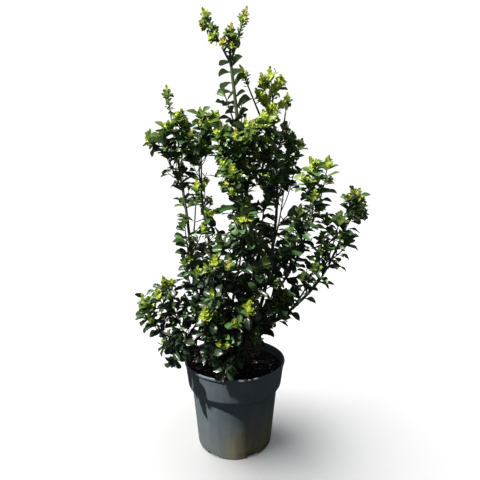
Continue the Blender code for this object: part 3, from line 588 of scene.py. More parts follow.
def bark_material(name, old, young):
    material, wiring, shader = new_material(name)
    age = wiring.node("ShaderNodeAttribute", {"attribute_name": "bark_age"}).outputs["Fac"]
    bark = wiring.group("bark", Old=colour(old), Young=colour(young), Age=age)
    wiring.feed(shader, "Base Color", bark["Colour"])
    wiring.feed(shader, "Roughness", wiring.ramp(age, 0.0, 1.0, 0.48, 0.82))
    bump(wiring, shader, bark["Height"], 0.35, 0.0004)
    return material


def leaf_material(name, upper, under, vein, roughness, coat, glow):
    material, wiring, shader = new_material(name)
    blade = wiring.group("leaf_blade", Colour=colour(upper), Vein=colour(vein),
                         Vein_Strength=0.45, Variation=0.75)
    back = wiring.node("ShaderNodeNewGeometry").outputs["Backfacing"]
    wiring.feed(shader, "Base Color", wiring.mix(back, blade["Colour"], colour(under)))
    wiring.feed(shader, "Roughness", wiring.maths("ADD", roughness, wiring.maths("MULTIPLY", back, 0.25)))
    wiring.feed(shader, "Coat Weight", wiring.maths("MULTIPLY", wiring.maths("SUBTRACT", 1.0, back), coat))
    shader.inputs["Coat Roughness"].default_value = 0.24
    shader.inputs["Specular IOR Level"].default_value = 0.45
    bump(wiring, shader, blade["Height"], 0.30, 0.0005)
    through = wiring.node("ShaderNodeBsdfTranslucent")
    wiring.feed(through, "Color", wiring.mix(0.5, blade["Colour"], colour([1.6 * c for c in under])))
    both = wiring.node("ShaderNodeMixShader")
    for i, value in enumerate((glow, shader.outputs[0], through.outputs[0])):
        wiring.feed(both, str(i), value)
    output = material.node_tree.nodes["Material Output"]
    wiring.feed(output, "Surface", both.outputs[0])
    return material


# Mesh helpers


def finish_piece(obj, slot, *nodes):
    """Sets the piece on the body and hides the solids that it stands for; the slot is not used."""
    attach(obj, "root")
    if nodes:
        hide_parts(*nodes)
    return obj


def add_object(name, mesh, material):
    obj = bpy.data.objects.new(name, mesh)
    bpy.context.scene.collection.objects.link(obj)
    mesh.materials.append(material)
    return obj


def mesh_from(name, bm, smooth=math.radians(40)):
    mesh = bpy.data.meshes.new(name)
    bm.to_mesh(mesh)
    bm.free()
    mesh.shade_smooth()
    mesh.set_sharp_from_angle(angle=smooth)
    return mesh


def softened(profile, radius, steps=4):
    """Rounds the inner corners of a profile of (radius, height) points."""
    points = [Vector(p) for p in profile]
    made = [points[0]]
    for before, corner, after in zip(points, points[1:], points[2:]):
        reach = [min(radius, 0.45 * (p - corner).length) for p in (before, after)]
        start = corner + (before - corner).normalized() * reach[0]
        end = corner + (after - corner).normalized() * reach[1]
        for t in (step / steps for step in range(steps + 1)):
            made.append((1 - t) ** 2 * start + 2 * t * (1 - t) * corner + t * t * end)
    return made + [points[-1]]


def spun(profile, steps):
    """Turns a profile round the vertical into a closed shell."""
    bm = bmesh.new()
    verts = [bm.verts.new((p[0], 0.0, p[1])) for p in profile]
    edges = [bm.edges.new(pair) for pair in zip(verts, verts[1:])]
    bmesh.ops.spin(bm, geom=verts + edges, cent=(0, 0, 0), axis=(0, 0, 1), angle=math.tau,
                   steps=steps, use_merge=True, use_duplicate=False)
    bmesh.ops.remove_doubles(bm, verts=bm.verts, dist=0.00002)
    bmesh.ops.dissolve_degenerate(bm, edges=bm.edges, dist=0.00001)
    bmesh.ops.recalc_face_normals(bm, faces=bm.faces)
    return bm


def mesh_arrays(bm):
    """Vertices, faces and the faces' UVs of a small shape, to copy many times."""
    bm.verts.ensure_lookup_table()
    places = np.array([v.co for v in bm.verts])
    layer = bm.loops.layers.uv.active
    faces = [[v.index for v in f.verts] for f in bm.faces]
    uvs = [[tuple(loop[layer].uv) for loop in f.loops] for f in bm.faces] if layer else None
    bm.free()
    return places, faces, uvs


def joined(name, copies, material, attribute):
    """One mesh from (places, faces, uvs, value) copies, with the value kept on the points."""
    places, corners, sizes, uvs, values = [], [], [], [], []
    start = 0
    for shape_places, shape_faces, shape_uvs, value in copies:
        places.append(shape_places)
        corners.append(np.concatenate(shape_faces) + start)
        sizes.append([len(f) for f in shape_faces])
        if shape_uvs is not None:
            uvs.append(np.concatenate(shape_uvs))
        values.append(np.broadcast_to(value, len(shape_places)))
        start += len(shape_places)
    mesh = bpy.data.meshes.new(name)
    places, corners = np.concatenate(places), np.concatenate(corners)
    sizes, values = np.concatenate(sizes), np.concatenate(values)
    mesh.vertices.add(len(places))
    mesh.vertices.foreach_set("co", places.astype(np.float32).ravel())
    mesh.loops.add(len(corners))
    mesh.loops.foreach_set("vertex_index", corners.astype(np.int32))
    mesh.polygons.add(len(sizes))
    mesh.polygons.foreach_set("loop_start", np.concatenate([[0], np.cumsum(sizes)[:-1]]).astype(np.int32))
    if uvs:
        layer = mesh.uv_layers.new(name="blade")
        layer.uv.foreach_set("vector", np.concatenate(uvs).astype(np.float32).ravel())
    held = mesh.attributes.new(attribute, "FLOAT", "POINT")
    held.data.foreach_set("value", values.astype(np.float32))
    mesh.update(calc_edges=True)
    mesh.shade_smooth()
    return add_object(name, mesh, material)


def unit(vector):
    return vector / np.linalg.norm(vector)


def side_axes(direction):
    """Two directions square to the given one and to each other."""
    other = np.array([1.0, 0.0, 0.0]) if abs(direction[0]) < 0.8 else np.array([0.0, 1.0, 0.0])
    first = unit(np.cross(direction, other))
    return first, np.cross(direction, first)


# How the shrub grows


def smooth_path(places, step):
    """A smooth curve through the places, as points about a step apart."""
    places = [np.array(p, float) for p in places]
    ends = [2 * places[0] - places[1], *places, 2 * places[-1] - places[-2]]
    path = [places[0]]
    for before, start, end, after in zip(ends, ends[1:], ends[2:], ends[3:]):
        count = max(2, round(np.linalg.norm(end - start) / step))
        for t in np.linspace(0, 1, count + 1)[1:]:
            slope = (after - start) * t ** 3 - (after - start) * t ** 2
            slope += (end - before) * (t ** 3 - 2 * t ** 2 + t)
            path.append((2 * t ** 3 - 3 * t ** 2 + 1) * start + (3 * t ** 2 - 2 * t ** 3) * end + slope / 2)
    return np.array(path)


def bent_path(start, bend, end, count):
    """A quadratic curve with its one bend, as count + 1 points."""
    return np.array([(1 - t) ** 2 * start + 2 * t * (1 - t) * bend + t * t * end for t in np.linspace(0, 1, count + 1)])


class Stem:
    """A path of points with a radius at each."""

    def __init__(self, points, radii):
        self.points = np.array(points, float)
        self.radii = np.array(radii, float)
        steps = np.linalg.norm(np.diff(self.points, axis=0), axis=1)
        self.lengths = np.concatenate([[0.0], np.cumsum(steps)])

    def at(self, share):
        """Place and direction at a share of the length."""
        distance = share * self.lengths[-1]
        place = np.array([np.interp(distance, self.lengths, self.points[:, k]) for k in range(3)])
        i = min(np.searchsorted(self.lengths, distance, side="right"), len(self.points) - 1)
        return place, unit(self.points[i] - self.points[i - 1])

    def radius_at(self, share):
        return float(np.interp(share * self.lengths[-1], self.lengths, self.radii))


FOOT_HEIGHT = 0.036
LIMB_STEP = 0.0045

# The solid model's own tip leaves reach this much past a shoot's end
TIP_GROWTH = 0.014

# Masses no wider than the first have no side twigs, and those narrower than
# the second have leaves on the upper part only
TWIGLESS_SPREAD = 0.40
BARE_SPREAD = 0.30

# How far along and up a side shoot has come halfway, when full and when slender
BOW = np.array([0.72, 0.72, 0.38])
SLENDER_BOW = np.array([0.52, 0.52, 0.48])

# Leaves of the slender shoots at the top
SLENDER_LEAF = 0.015

# Stems have their leaves to the left and right above this height and this far from the middle
BARE_HEIGHT = 0.70
OUTER_REACH = 0.075

# Leafy spurs on the limbs in the heart of the crown: how high and how far out
SPUR_HEIGHT = 0.50
SPUR_REACH = 0.085
SPUR_SPACING = 0.016
SPUR_LENGTH = 0.034

# Where the plant gets its light from, which its leaves turn to
LIGHT = np.array([-0.55, -0.50, 0.67])

# How much the leaves that stand to the left and right of a stem hang forward or backward
HANG = 0.50


def foot_stem(settings, soil_level):
    shares = np.linspace(0, 1, 13)
    points = [(0.0, 0.0, soil_level - 0.004 + share * (FOOT_HEIGHT + 0.004)) for share in shares]
    return Stem(points, [settings.foot_radius + 0.010 * (1 - share) ** 2 for share in shares])


def plan_limbs(settings, soil_level):
    """The foot and the woody limbs, by name."""
    stems = {"stem_foot": foot_stem(settings, soil_level)}
    for name, (parent, share, start_radius, tip_radius, bends) in LIMBS.items():
        start, _ = stems[parent].at(share)
        path = smooth_path([start, *bends], LIMB_STEP)
        radii = np.linspace(1, 0, len(path)) ** LIMB_TAPER * (start_radius - tip_radius) + tip_radius
        stems[name] = Stem(path, radii)
    return stems


def plan_shoot(limb, share, tip, spread):
    """Path of a mass's main shoot, from its limb to its tip, turning upward."""
    tip = np.array(tip)
    start, direction = limb.at(share)
    reach = tip - start
    if share == 1.0:
        bend = start + direction * 0.45 * np.linalg.norm(reach)
    else:
        bend = start + reach * (SLENDER_BOW if spread <= TWIGLESS_SPREAD else BOW)
    tip = tip + unit(tip - bend) * TIP_GROWTH
    path = bent_path(start, bend, tip, max(8, round(np.linalg.norm(reach) / 0.006)))
    return Stem(path, np.linspace(min(0.0023, limb.radius_at(share)), 0.0010, len(path)))


def plan_twigs(shoot, spread, spacing, rng):
    """Side twigs of a shoot, on the spiral that the solid model's twigs follow, with finer ones between."""
    twigs = []
    if spread <= TWIGLESS_SPREAD:
        return twigs
    count = max(3, round(shoot.lengths[-1] / spacing))
    turn = rng.uniform(0, math.tau)
    for share in np.linspace(0.12, 0.86, count):
        turn += GOLDEN_ANGLE
        place, direction = shoot.at(share)
        first, second = side_axes(direction)
        out = math.cos(turn) * first + math.sin(turn) * second
        length = spread * rng.uniform(0.60, 1.15) * np.interp(share, (0.2, 0.9), (0.054, 0.026))
        lean = rng.uniform(0.8, 1.15) * math.radians(50)
        heading = math.sin(lean) * out + math.cos(lean) * direction
        bend = place + 0.5 * length * heading
        end = place + length * unit(heading + np.array([0.0, 0.0, 0.45]))
        if length > 0.014:
            twigs.append(Stem(bent_path(place, bend, end, 5), np.linspace(0.0012, 0.0008, 6)))
    return twigs


def plan_side_shoot(shoot, share, tip):
    """A finer shoot from a mass's main shoot to its own tip, turning upward."""
    start, _ = shoot.at(share)
    tip = np.array(tip)
    bend = start + (tip - start) * np.array([0.75, 0.75, 0.40])
    count = max(5, round(np.linalg.norm(tip - start) / 0.008))
    return Stem(bent_path(start, bend, tip, count), np.linspace(0.0014, 0.0009, count + 1))


def in_opening(place):
    """True where a place would close one of the openings, as seen from the front."""
    line = place - VIEWPOINT
    crossing = VIEWPOINT + line * (-VIEWPOINT[1] / line[1])
    return any(math.hypot(crossing[0] - x, crossing[2] - z) < radius for x, z, radius in OPENINGS)


# Leaves


def blade(rows, columns, outline, bend, fold, roll, wave=0.0):
    """One leaf of unit length along +Y, facing +Z: a grid bent to shape and narrowed to its outline."""
    bm = bmesh.new()
    bm.loops.layers.uv.new("blade")
    bmesh.ops.create_grid(bm, x_segments=columns, y_segments=rows, size=0.5, calc_uvs=True)
    stations, widths = zip(*outline)
    for vert in bm.verts:
        side = vert.co.x * 2
        share = vert.co.y + 0.5
        along = 0.3 * share + 0.7 * math.sin(share * math.pi / 2)
        half = float(np.interp(along, stations, widths)) / 2
        angle = bend * along ** 1.5
        vert.co.x = side * half * (1 - 0.10 * abs(roll) * side * side)
        vert.co.y = along * (1 - angle * angle / 6)
        vert.co.z = -angle * along / 2 + fold * abs(side) * half - roll * side * side * half
        vert.co.z += wave * math.sin(along * 9.0) * side * half
    bmesh.ops.remove_doubles(bm, verts=bm.verts, dist=0.004)
    return mesh_arrays(bm)


GROWN_OUTLINE = ((0.0, 0.05), (0.09, 0.07), (0.22, 0.46), (0.38, 0.80), (0.52, 0.97), (0.66, 1.0),
                 (0.78, 0.92), (0.88, 0.73), (0.95, 0.46), (1.0, 0.0))
YOUNG_OUTLINE = ((0.0, 0.10), (0.18, 0.50), (0.40, 0.90), (0.60, 1.0), (0.80, 0.86), (0.93, 0.52), (1.0, 0.0))


class Sprays:
    """The leaves by colour, each as the numbers that place a copy of a blade."""

    def __init__(self, settings):
        self.settings = settings
        self.rows = {key: [] for key in ("old", "grown", "fresh", "new", "blush")}
        self.grown_blades = [
            blade(7, 4, GROWN_OUTLINE, 0.32, 0.46, 0.12, 0.06),
            blade(7, 4, GROWN_OUTLINE, 0.60, 0.34, 0.18, -0.10),
            blade(7, 4, GROWN_OUTLINE, 0.10, 0.54, 0.10, 0.12),
        ]
        self.young_blades = [
            blade(5, 2, YOUNG_OUTLINE, -0.35, 0.30, 0.0),
            blade(5, 2, YOUNG_OUTLINE, 0.20, 0.42, 0.0),
        ]

    def add(self, kind, young, place, direction, face, length, rng):
        across = np.cross(direction, face)
        if np.linalg.norm(across) < 0.02:
            return
        across = unit(across)
        upper = np.cross(across, direction)
        if any(in_opening(place + direction * length * share) for share in (0.3, 0.65, 1.0)):
            return
        shapes = self.young_blades if young else self.grown_blades
        shape = shapes[rng.randrange(len(shapes))]
        width = self.settings.width * rng.uniform(0.85, 1.12) * (1.1 if young else 1.0)
        curl = rng.uniform(0.6, 1.4)
        self.rows[kind].append((shape, place, across * width, direction, upper * curl, length, rng.random()))

    def copies(self, kind):
        for shape, place, across, direction, upper, length, tone in self.rows[kind]:
            places, faces, uvs = shape
            turned = places[:, :1] * across + places[:, 1:2] * direction + places[:, 2:] * upper
            yield place + length * turned, faces, uvs, tone


def in_window(place):
    """Whether a place is among the two long stems at the left, where leaves stand far apart."""
    return place[0] < -0.06 and 0.40 < place[2] < 0.66


def leaf_up(stem, shares, sprays, kinds, size, rng, lean=64, roll=35, hang=0.0):
    """Single leaves up a stem, the low ones spread wide.

    They follow its spiral, faces to the light, or stand to its left and right and hang forward or backward."""
    turn = math.pi / 2 if hang else rng.uniform(0, math.tau)
    for share in shares:
        turn += (math.pi if hang else GOLDEN_ANGLE) + rng.uniform(-0.25, 0.25)
        place, direction = stem.at(share)
        first, second = side_axes(direction)
        out = math.cos(turn) * first + math.sin(turn) * second
        under = hang < 0 and out[2] < -0.2
        if rng.random() < (0.6 if under else 0.48 if in_window(place) else 0.0):
            continue
        angle = math.radians(lean * np.interp(share, (0, 1), (1.18, 0.78)) * rng.uniform(0.85, 1.15))
        heading = math.sin(angle) * out + math.cos(angle) * direction
        heading = unit(heading - np.array([0.0, 0.0, 0.12]))
        inward = math.sin(angle) * direction - math.cos(angle) * out
        face = unit(inward + (np.array([0.0, hang, 0.0]) if hang else 0.5 * LIGHT))
        twist = math.radians(rng.uniform(-roll, roll))
        face = math.cos(twist) * face + math.sin(twist) * np.cross(heading, face)
        length = size * rng.uniform(0.68, 1.10) * np.interp(share, (0.0, 0.75, 1.0), (1.0, 0.95, 0.72))
        kind = kinds[min(len(kinds) - 1, int(share * len(kinds)))]
        if rng.random() < 0.20:
            kind = kinds[rng.randrange(len(kinds))]
        sprays.add(kind, False, place + out * stem.radius_at(share) * 0.6, heading, face, length, rng)


def tint_at(place, rng):
    """Colour of a rosette: the darkest green low over the soil and the darker fresh green in the shade, both painted
    shade on young leaves, and some blush near the top.
    """
    side, depth, height = place
    if height < 0.262:
        return "old"
    if height < 0.56 and (side > 0.08 or depth > 0.03) or height < 0.72 and 0.03 < depth < 0.09:
        return "fresh"
    return "blush" if rng.random() < np.interp(height, (0.4, 0.8, 0.88, 0.95), (0.0, 0.25, 0.3, 0.8)) else "new"


def rosette(stem, sprays, tint, size, rng, count, reach=0.018, spread=66, green=1.0):
    """Young leaves packed round a tip: open ones below, then smaller and more upright ones."""
    turn = rng.uniform(0, math.tau)
    for i in range(count):
        inner = i / (count - 1)
        turn += GOLDEN_ANGLE
        place, direction = stem.at(1.0 - (1 - inner) * min(0.6, reach / stem.lengths[-1]))
        first, second = side_axes(direction)
        out = math.cos(turn) * first + math.sin(turn) * second
        angle = math.radians(np.interp(inner, (0, 0.4, 1), (spread, spread * 0.62, 6)) * rng.uniform(0.85, 1.15))
        heading = math.sin(angle) * out + math.cos(angle) * direction
        inward = math.sin(angle) * direction - math.cos(angle) * out
        length = size * np.interp(inner, (0, 0.25, 1), (1.45, 1.1, 0.62)) * rng.uniform(0.85, 1.15)
        if tint in ("fresh", "old"):
            shade = tint
        # Outer leaves of rosettes low over the soil take the darkest green, a painted shade
        elif stem.points[-1][2] < 0.30 and inner < 0.35:
            shade = "old"
        elif rng.random() < green * np.interp(inner, (0.0, 0.25, 0.8), (0.9, 0.40, 0.05)):
            shade = "fresh"
        elif tint == "blush" and rng.random() < 0.6:
            shade = "blush"
        else:
            shade = "new"
        sprays.add(shade, True, place, heading, inward, length, rng)


def tube(stem, sides, rng, relief=0.0, lobes=0.0):
    """A grid rolled round a stem's path into a closed rod, with leaf scars and ridges."""
    bm = bmesh.new()
    rings = len(stem.points) + 2
    bmesh.ops.create_grid(bm, x_segments=sides, y_segments=rings - 1, size=0.5)
    points, radii = stem.points, stem.radii
    tangents = np.gradient(points, axis=0)
    tangents /= np.linalg.norm(tangents, axis=1)[:, None]
    first = side_axes(tangents[0])[0]
    frames = []
    for tangent in tangents:
        first = unit(first - tangent * np.dot(first, tangent))
        frames.append((first, np.cross(tangent, first)))
    scar_turn = rng.uniform(0, math.tau)
    offset = rng.uniform(0, 10)
    for vert in bm.verts:
        around = (vert.co.x + 0.5) * math.tau
        row = round((vert.co.y + 0.5) * (rings - 1)) - 1
        i = min(max(row, 0), len(points) - 1)
        radius = radii[i]
        if row < 0 or row > len(points) - 1:
            radius *= 0.02
        if relief:
            scar = max(0.0, math.cos(around - scar_turn - (i // 2) * GOLDEN_ANGLE)) ** 6
            ridge = noise.noise(Vector((math.cos(around) * 1.5, math.sin(around) * 1.5, offset + i * 0.35)))
            radius *= 1 + relief * ((0.9 * scar if i % 2 == 0 else 0.0) + 0.7 * ridge)
        if lobes:
            radius *= 1 + lobes * (1 - i / (len(points) - 1)) * math.cos(5 * around)
        place = points[i] + radius * (math.cos(around) * frames[i][0] + math.sin(around) * frames[i][1])
        vert.co = Vector(place)
    bmesh.ops.remove_doubles(bm, verts=bm.verts, dist=0.00001)
    bmesh.ops.recalc_face_normals(bm, faces=bm.faces)
    return mesh_arrays(bm)


# Operators


class HOLLY_OT_pot(bpy.types.Operator):
    """Builds the plastic nursery pot with its drain channels"""

    bl_idname = "holly.build_pot"
    bl_label = "Build pot"

    def profile(self, settings):
        wall, height, rim = settings.wall, settings.height, settings.rim_radius
        outer = [(0.0, 0.0), (0.0867, 0.0), (0.0872, 0.007), (0.0995, 0.127), (0.1092, 0.140),
                 (rim - 0.0022, height - 0.0062), (rim, height - 0.0050), (rim, height),
                 (rim - 0.0022 - wall, height)]
        inner = [(0.1092 - wall, 0.140 + wall), (0.0995 - wall, 0.127 + wall), (0.0872 - wall, 0.008), (0.0, 0.008)]
        return softened(outer + inner, 0.0030)

    def cutters(self, collection):
        for i in range(6):
            turn = math.radians(238 + 60 * i)
            for length, width, height, centre, level in (
                    (0.072, 0.028, 0.011, 0.070, 0.0), (0.014, 0.006, 0.016, 0.058, 0.008)):
                bm = bmesh.new()
                bmesh.ops.create_cube(bm, size=1.0)
                bmesh.ops.scale(bm, vec=(length, width, height), verts=bm.verts)
                upright = [e for e in bm.edges if abs(e.verts[0].co.x - e.verts[1].co.x) > 0.5 * length]
                bmesh.ops.bevel(bm, geom=upright, offset=0.0024, segments=3, profile=0.5,
                                affect="EDGES", material=-1)
                bmesh.ops.translate(bm, vec=(centre, 0.0, level), verts=bm.verts)
                bmesh.ops.rotate(bm, cent=(0, 0, 0), matrix=Matrix.Rotation(turn, 3, "Z"), verts=bm.verts)
                mesh = bpy.data.meshes.new("channel")
                bm.to_mesh(mesh)
                bm.free()
                collection.objects.link(bpy.data.objects.new("channel", mesh))

    def execute(self, context):
        settings = context.scene.holly_pot
        mesh = mesh_from("pot_shell", spun(self.profile(settings), 128))
        pot = add_object("pot_shell", mesh, pot_material(settings))
        cutters = bpy.data.collections.new("channels")
        context.scene.collection.children.link(cutters)
        self.cutters(cutters)
        cut = pot.modifiers.new("drainage", "BOOLEAN")
        cut.operation, cut.operand_type, cut.collection, cut.solver = "DIFFERENCE", "COLLECTION", cutters, "EXACT"
        graph = context.evaluated_depsgraph_get()
        shell = bpy.data.meshes.new_from_object(pot.evaluated_get(graph))
        pot.modifiers.clear()
        pot.data = shell
        shell.shade_smooth()
        shell.set_sharp_from_angle(angle=math.radians(32))
        for obj in list(cutters.objects):
            bpy.data.objects.remove(obj)
        bpy.data.collections.remove(cutters)
        finish_piece(pot, "pot_plastic", "pot")
        return {"FINISHED"}


def soil_height(x, y, settings):
    """Height of the compost's lumpy top."""
    radius = math.hypot(x, y)
    lumps = noise.fractal(Vector((x * 55, y * 55, 3.1)), 0.9, 2.1, 5)
    crown = 0.003 * (1 - radius / 0.11)
    edge = min(1.0, max(0.0, (0.110 - radius) / 0.012))
    return settings.level + crown * edge + settings.roughness * lumps * (0.35 + 0.65 * edge)


class HOLLY_OT_soil(bpy.types.Operator):
    """Builds the compost that fills the pot"""

    bl_idname = "holly.build_soil"
    bl_label = "Build soil"

    def execute(self, context):
        settings = context.scene.holly_soil
        level = settings.level
        profile = [(0.0, 0.0088), (0.0845, 0.0088), (0.0970, 0.1285), (0.1068, 0.1426), (0.1119, level)]
        profile += [(0.1119 * (1 - ring / 44), level) for ring in range(1, 45)]
        bm = spun(profile, 132)
        for vert in bm.verts:
            radius = math.hypot(vert.co.x, vert.co.y)
            if vert.co.z > level - 0.0005 and radius < 0.1114:
                vert.co.z = soil_height(vert.co.x, vert.co.y, settings)
        # The compost's near-black colour is partly its own and partly painted shade of the crown above it
        compost = soil_material("damp_compost", settings.compost, [c * 3.0 for c in settings.compost], 120.0)
        soil = add_object("compost", mesh_from("compost", bm, math.radians(180)), compost)
        finish_piece(soil, "soil_compost", "soil")
        return {"FINISHED"}


class HOLLY_OT_litter(bpy.types.Operator):
    """Scatters perlite, bark chips, dry leaf and crumbs on the compost"""

    bl_idname = "holly.scatter_litter"
    bl_label = "Scatter litter"

    def grain(self, rng, size, flat, rough):
        """A lump with dents, from a small ball."""
        bm = bmesh.new()
        bmesh.ops.create_icosphere(bm, subdivisions=1, radius=0.5)
        stretch = Vector([rng.uniform(0.7, 1.3), rng.uniform(0.7, 1.3), flat * rng.uniform(0.7, 1.2)])
        for vert in bm.verts:
            vert.co = Vector([c * s * size * rng.uniform(1 - rough, 1 + rough) for c, s in zip(vert.co, stretch)])
        bmesh.ops.rotate(bm, verts=bm.verts, matrix=Matrix.Rotation(rng.uniform(0, math.tau), 3, "Z"))
        return mesh_arrays(bm)

    def chip(self, rng, size):
        """A curled flake of bark or dry leaf."""
        bm = bmesh.new()
        bmesh.ops.create_grid(bm, x_segments=2, y_segments=4, size=0.5)
        width, curl = rng.uniform(0.18, 0.5), rng.uniform(-0.6, 0.6)
        for vert in bm.verts:
            across, along = vert.co.x, vert.co.y
            taper = 1 - 1.6 * abs(along) ** 1.5 * rng.uniform(0.6, 1.2)
            vert.co = Vector((across * width * taper, along, curl * (along ** 2 - across ** 2)))
        solid = bmesh.ops.solidify(bm, geom=bm.faces[:], thickness=0.05)
        del solid
        bmesh.ops.scale(bm, vec=(size, size, size), verts=bm.verts)
        turn = Matrix.Rotation(rng.uniform(0, math.tau), 3, "Z") @ Matrix.Rotation(rng.uniform(-0.5, 0.5), 3, "X")
        bmesh.ops.rotate(bm, verts=bm.verts, matrix=turn @ Matrix.Rotation(rng.uniform(-0.6, 0.6), 3, "Y"))
        bmesh.ops.recalc_face_normals(bm, faces=bm.faces)
        return mesh_arrays(bm)

    def scattered(self, rng, count, shape, lift, settings, heart=(0.0, 0.0), reach=0.105):
        """Copies of a shape that lie on the compost, within reach of a place."""
        made = []
        for _ in range(count):
            radius, turn = reach * math.sqrt(rng.random()), rng.uniform(0, math.tau)
            x, y = heart[0] + radius * math.cos(turn), heart[1] + radius * math.sin(turn)
            if not 0.024 < math.hypot(x, y) < 0.105:
                continue
            places, faces, uvs = shape()
            size = places.max(0)[2] - places.min(0)[2]
            spot = np.array([x, y, soil_height(x, y, settings) + lift * size])
            made.append((places + spot, faces, uvs, rng.random()))
        return made

    def execute(self, context):
        settings = context.scene.holly_soil
        rng = random.Random(5)
        white = soil_material("perlite", (0.72, 0.72, 0.70), (0.50, 0.50, 0.48), 300.0, 0.9)
        # The chips are pale: partly the colour of bark and dry leaf, partly painted sunlight, as they lie in the
        # crown's shade
        brown = soil_material("bark_chips", (0.270, 0.120, 0.075), (0.620, 0.400, 0.290), 110.0, 0.85)
        dark = soil_material("crumbs", (0.012, 0.010, 0.008), (0.040, 0.030, 0.022), 160.0)
        perlite = self.scattered(rng, settings.perlite_count,
                                 lambda: self.grain(rng, rng.uniform(0.0018, 0.0042), 0.8, 0.18), 0.30, settings)
        chips = self.scattered(rng, settings.chip_count // 4,
                               lambda: self.chip(rng, rng.uniform(0.004, 0.010)), 0.35, settings)
        for heart, reach in ((-0.086, -0.012), 0.022), ((-0.020, -0.060), 0.018), ((0.030, 0.060), 0.030):
            chips += self.scattered(rng, settings.chip_count // 3,
                                    lambda: self.chip(rng, rng.uniform(0.005, 0.012)), 0.45, settings, heart, reach)
        crumbs = self.scattered(rng, settings.crumb_count,
                                lambda: self.grain(rng, rng.uniform(0.0015, 0.0050), 0.8, 0.25), 0.15, settings)
        for name, copies, material in (("perlite", perlite, white), ("bark_chips", chips, brown),
                                       ("soil_crumbs", crumbs, dark)):
            finish_piece(joined(name, copies, material, "tone"), "soil_compost")
        return {"FINISHED"}


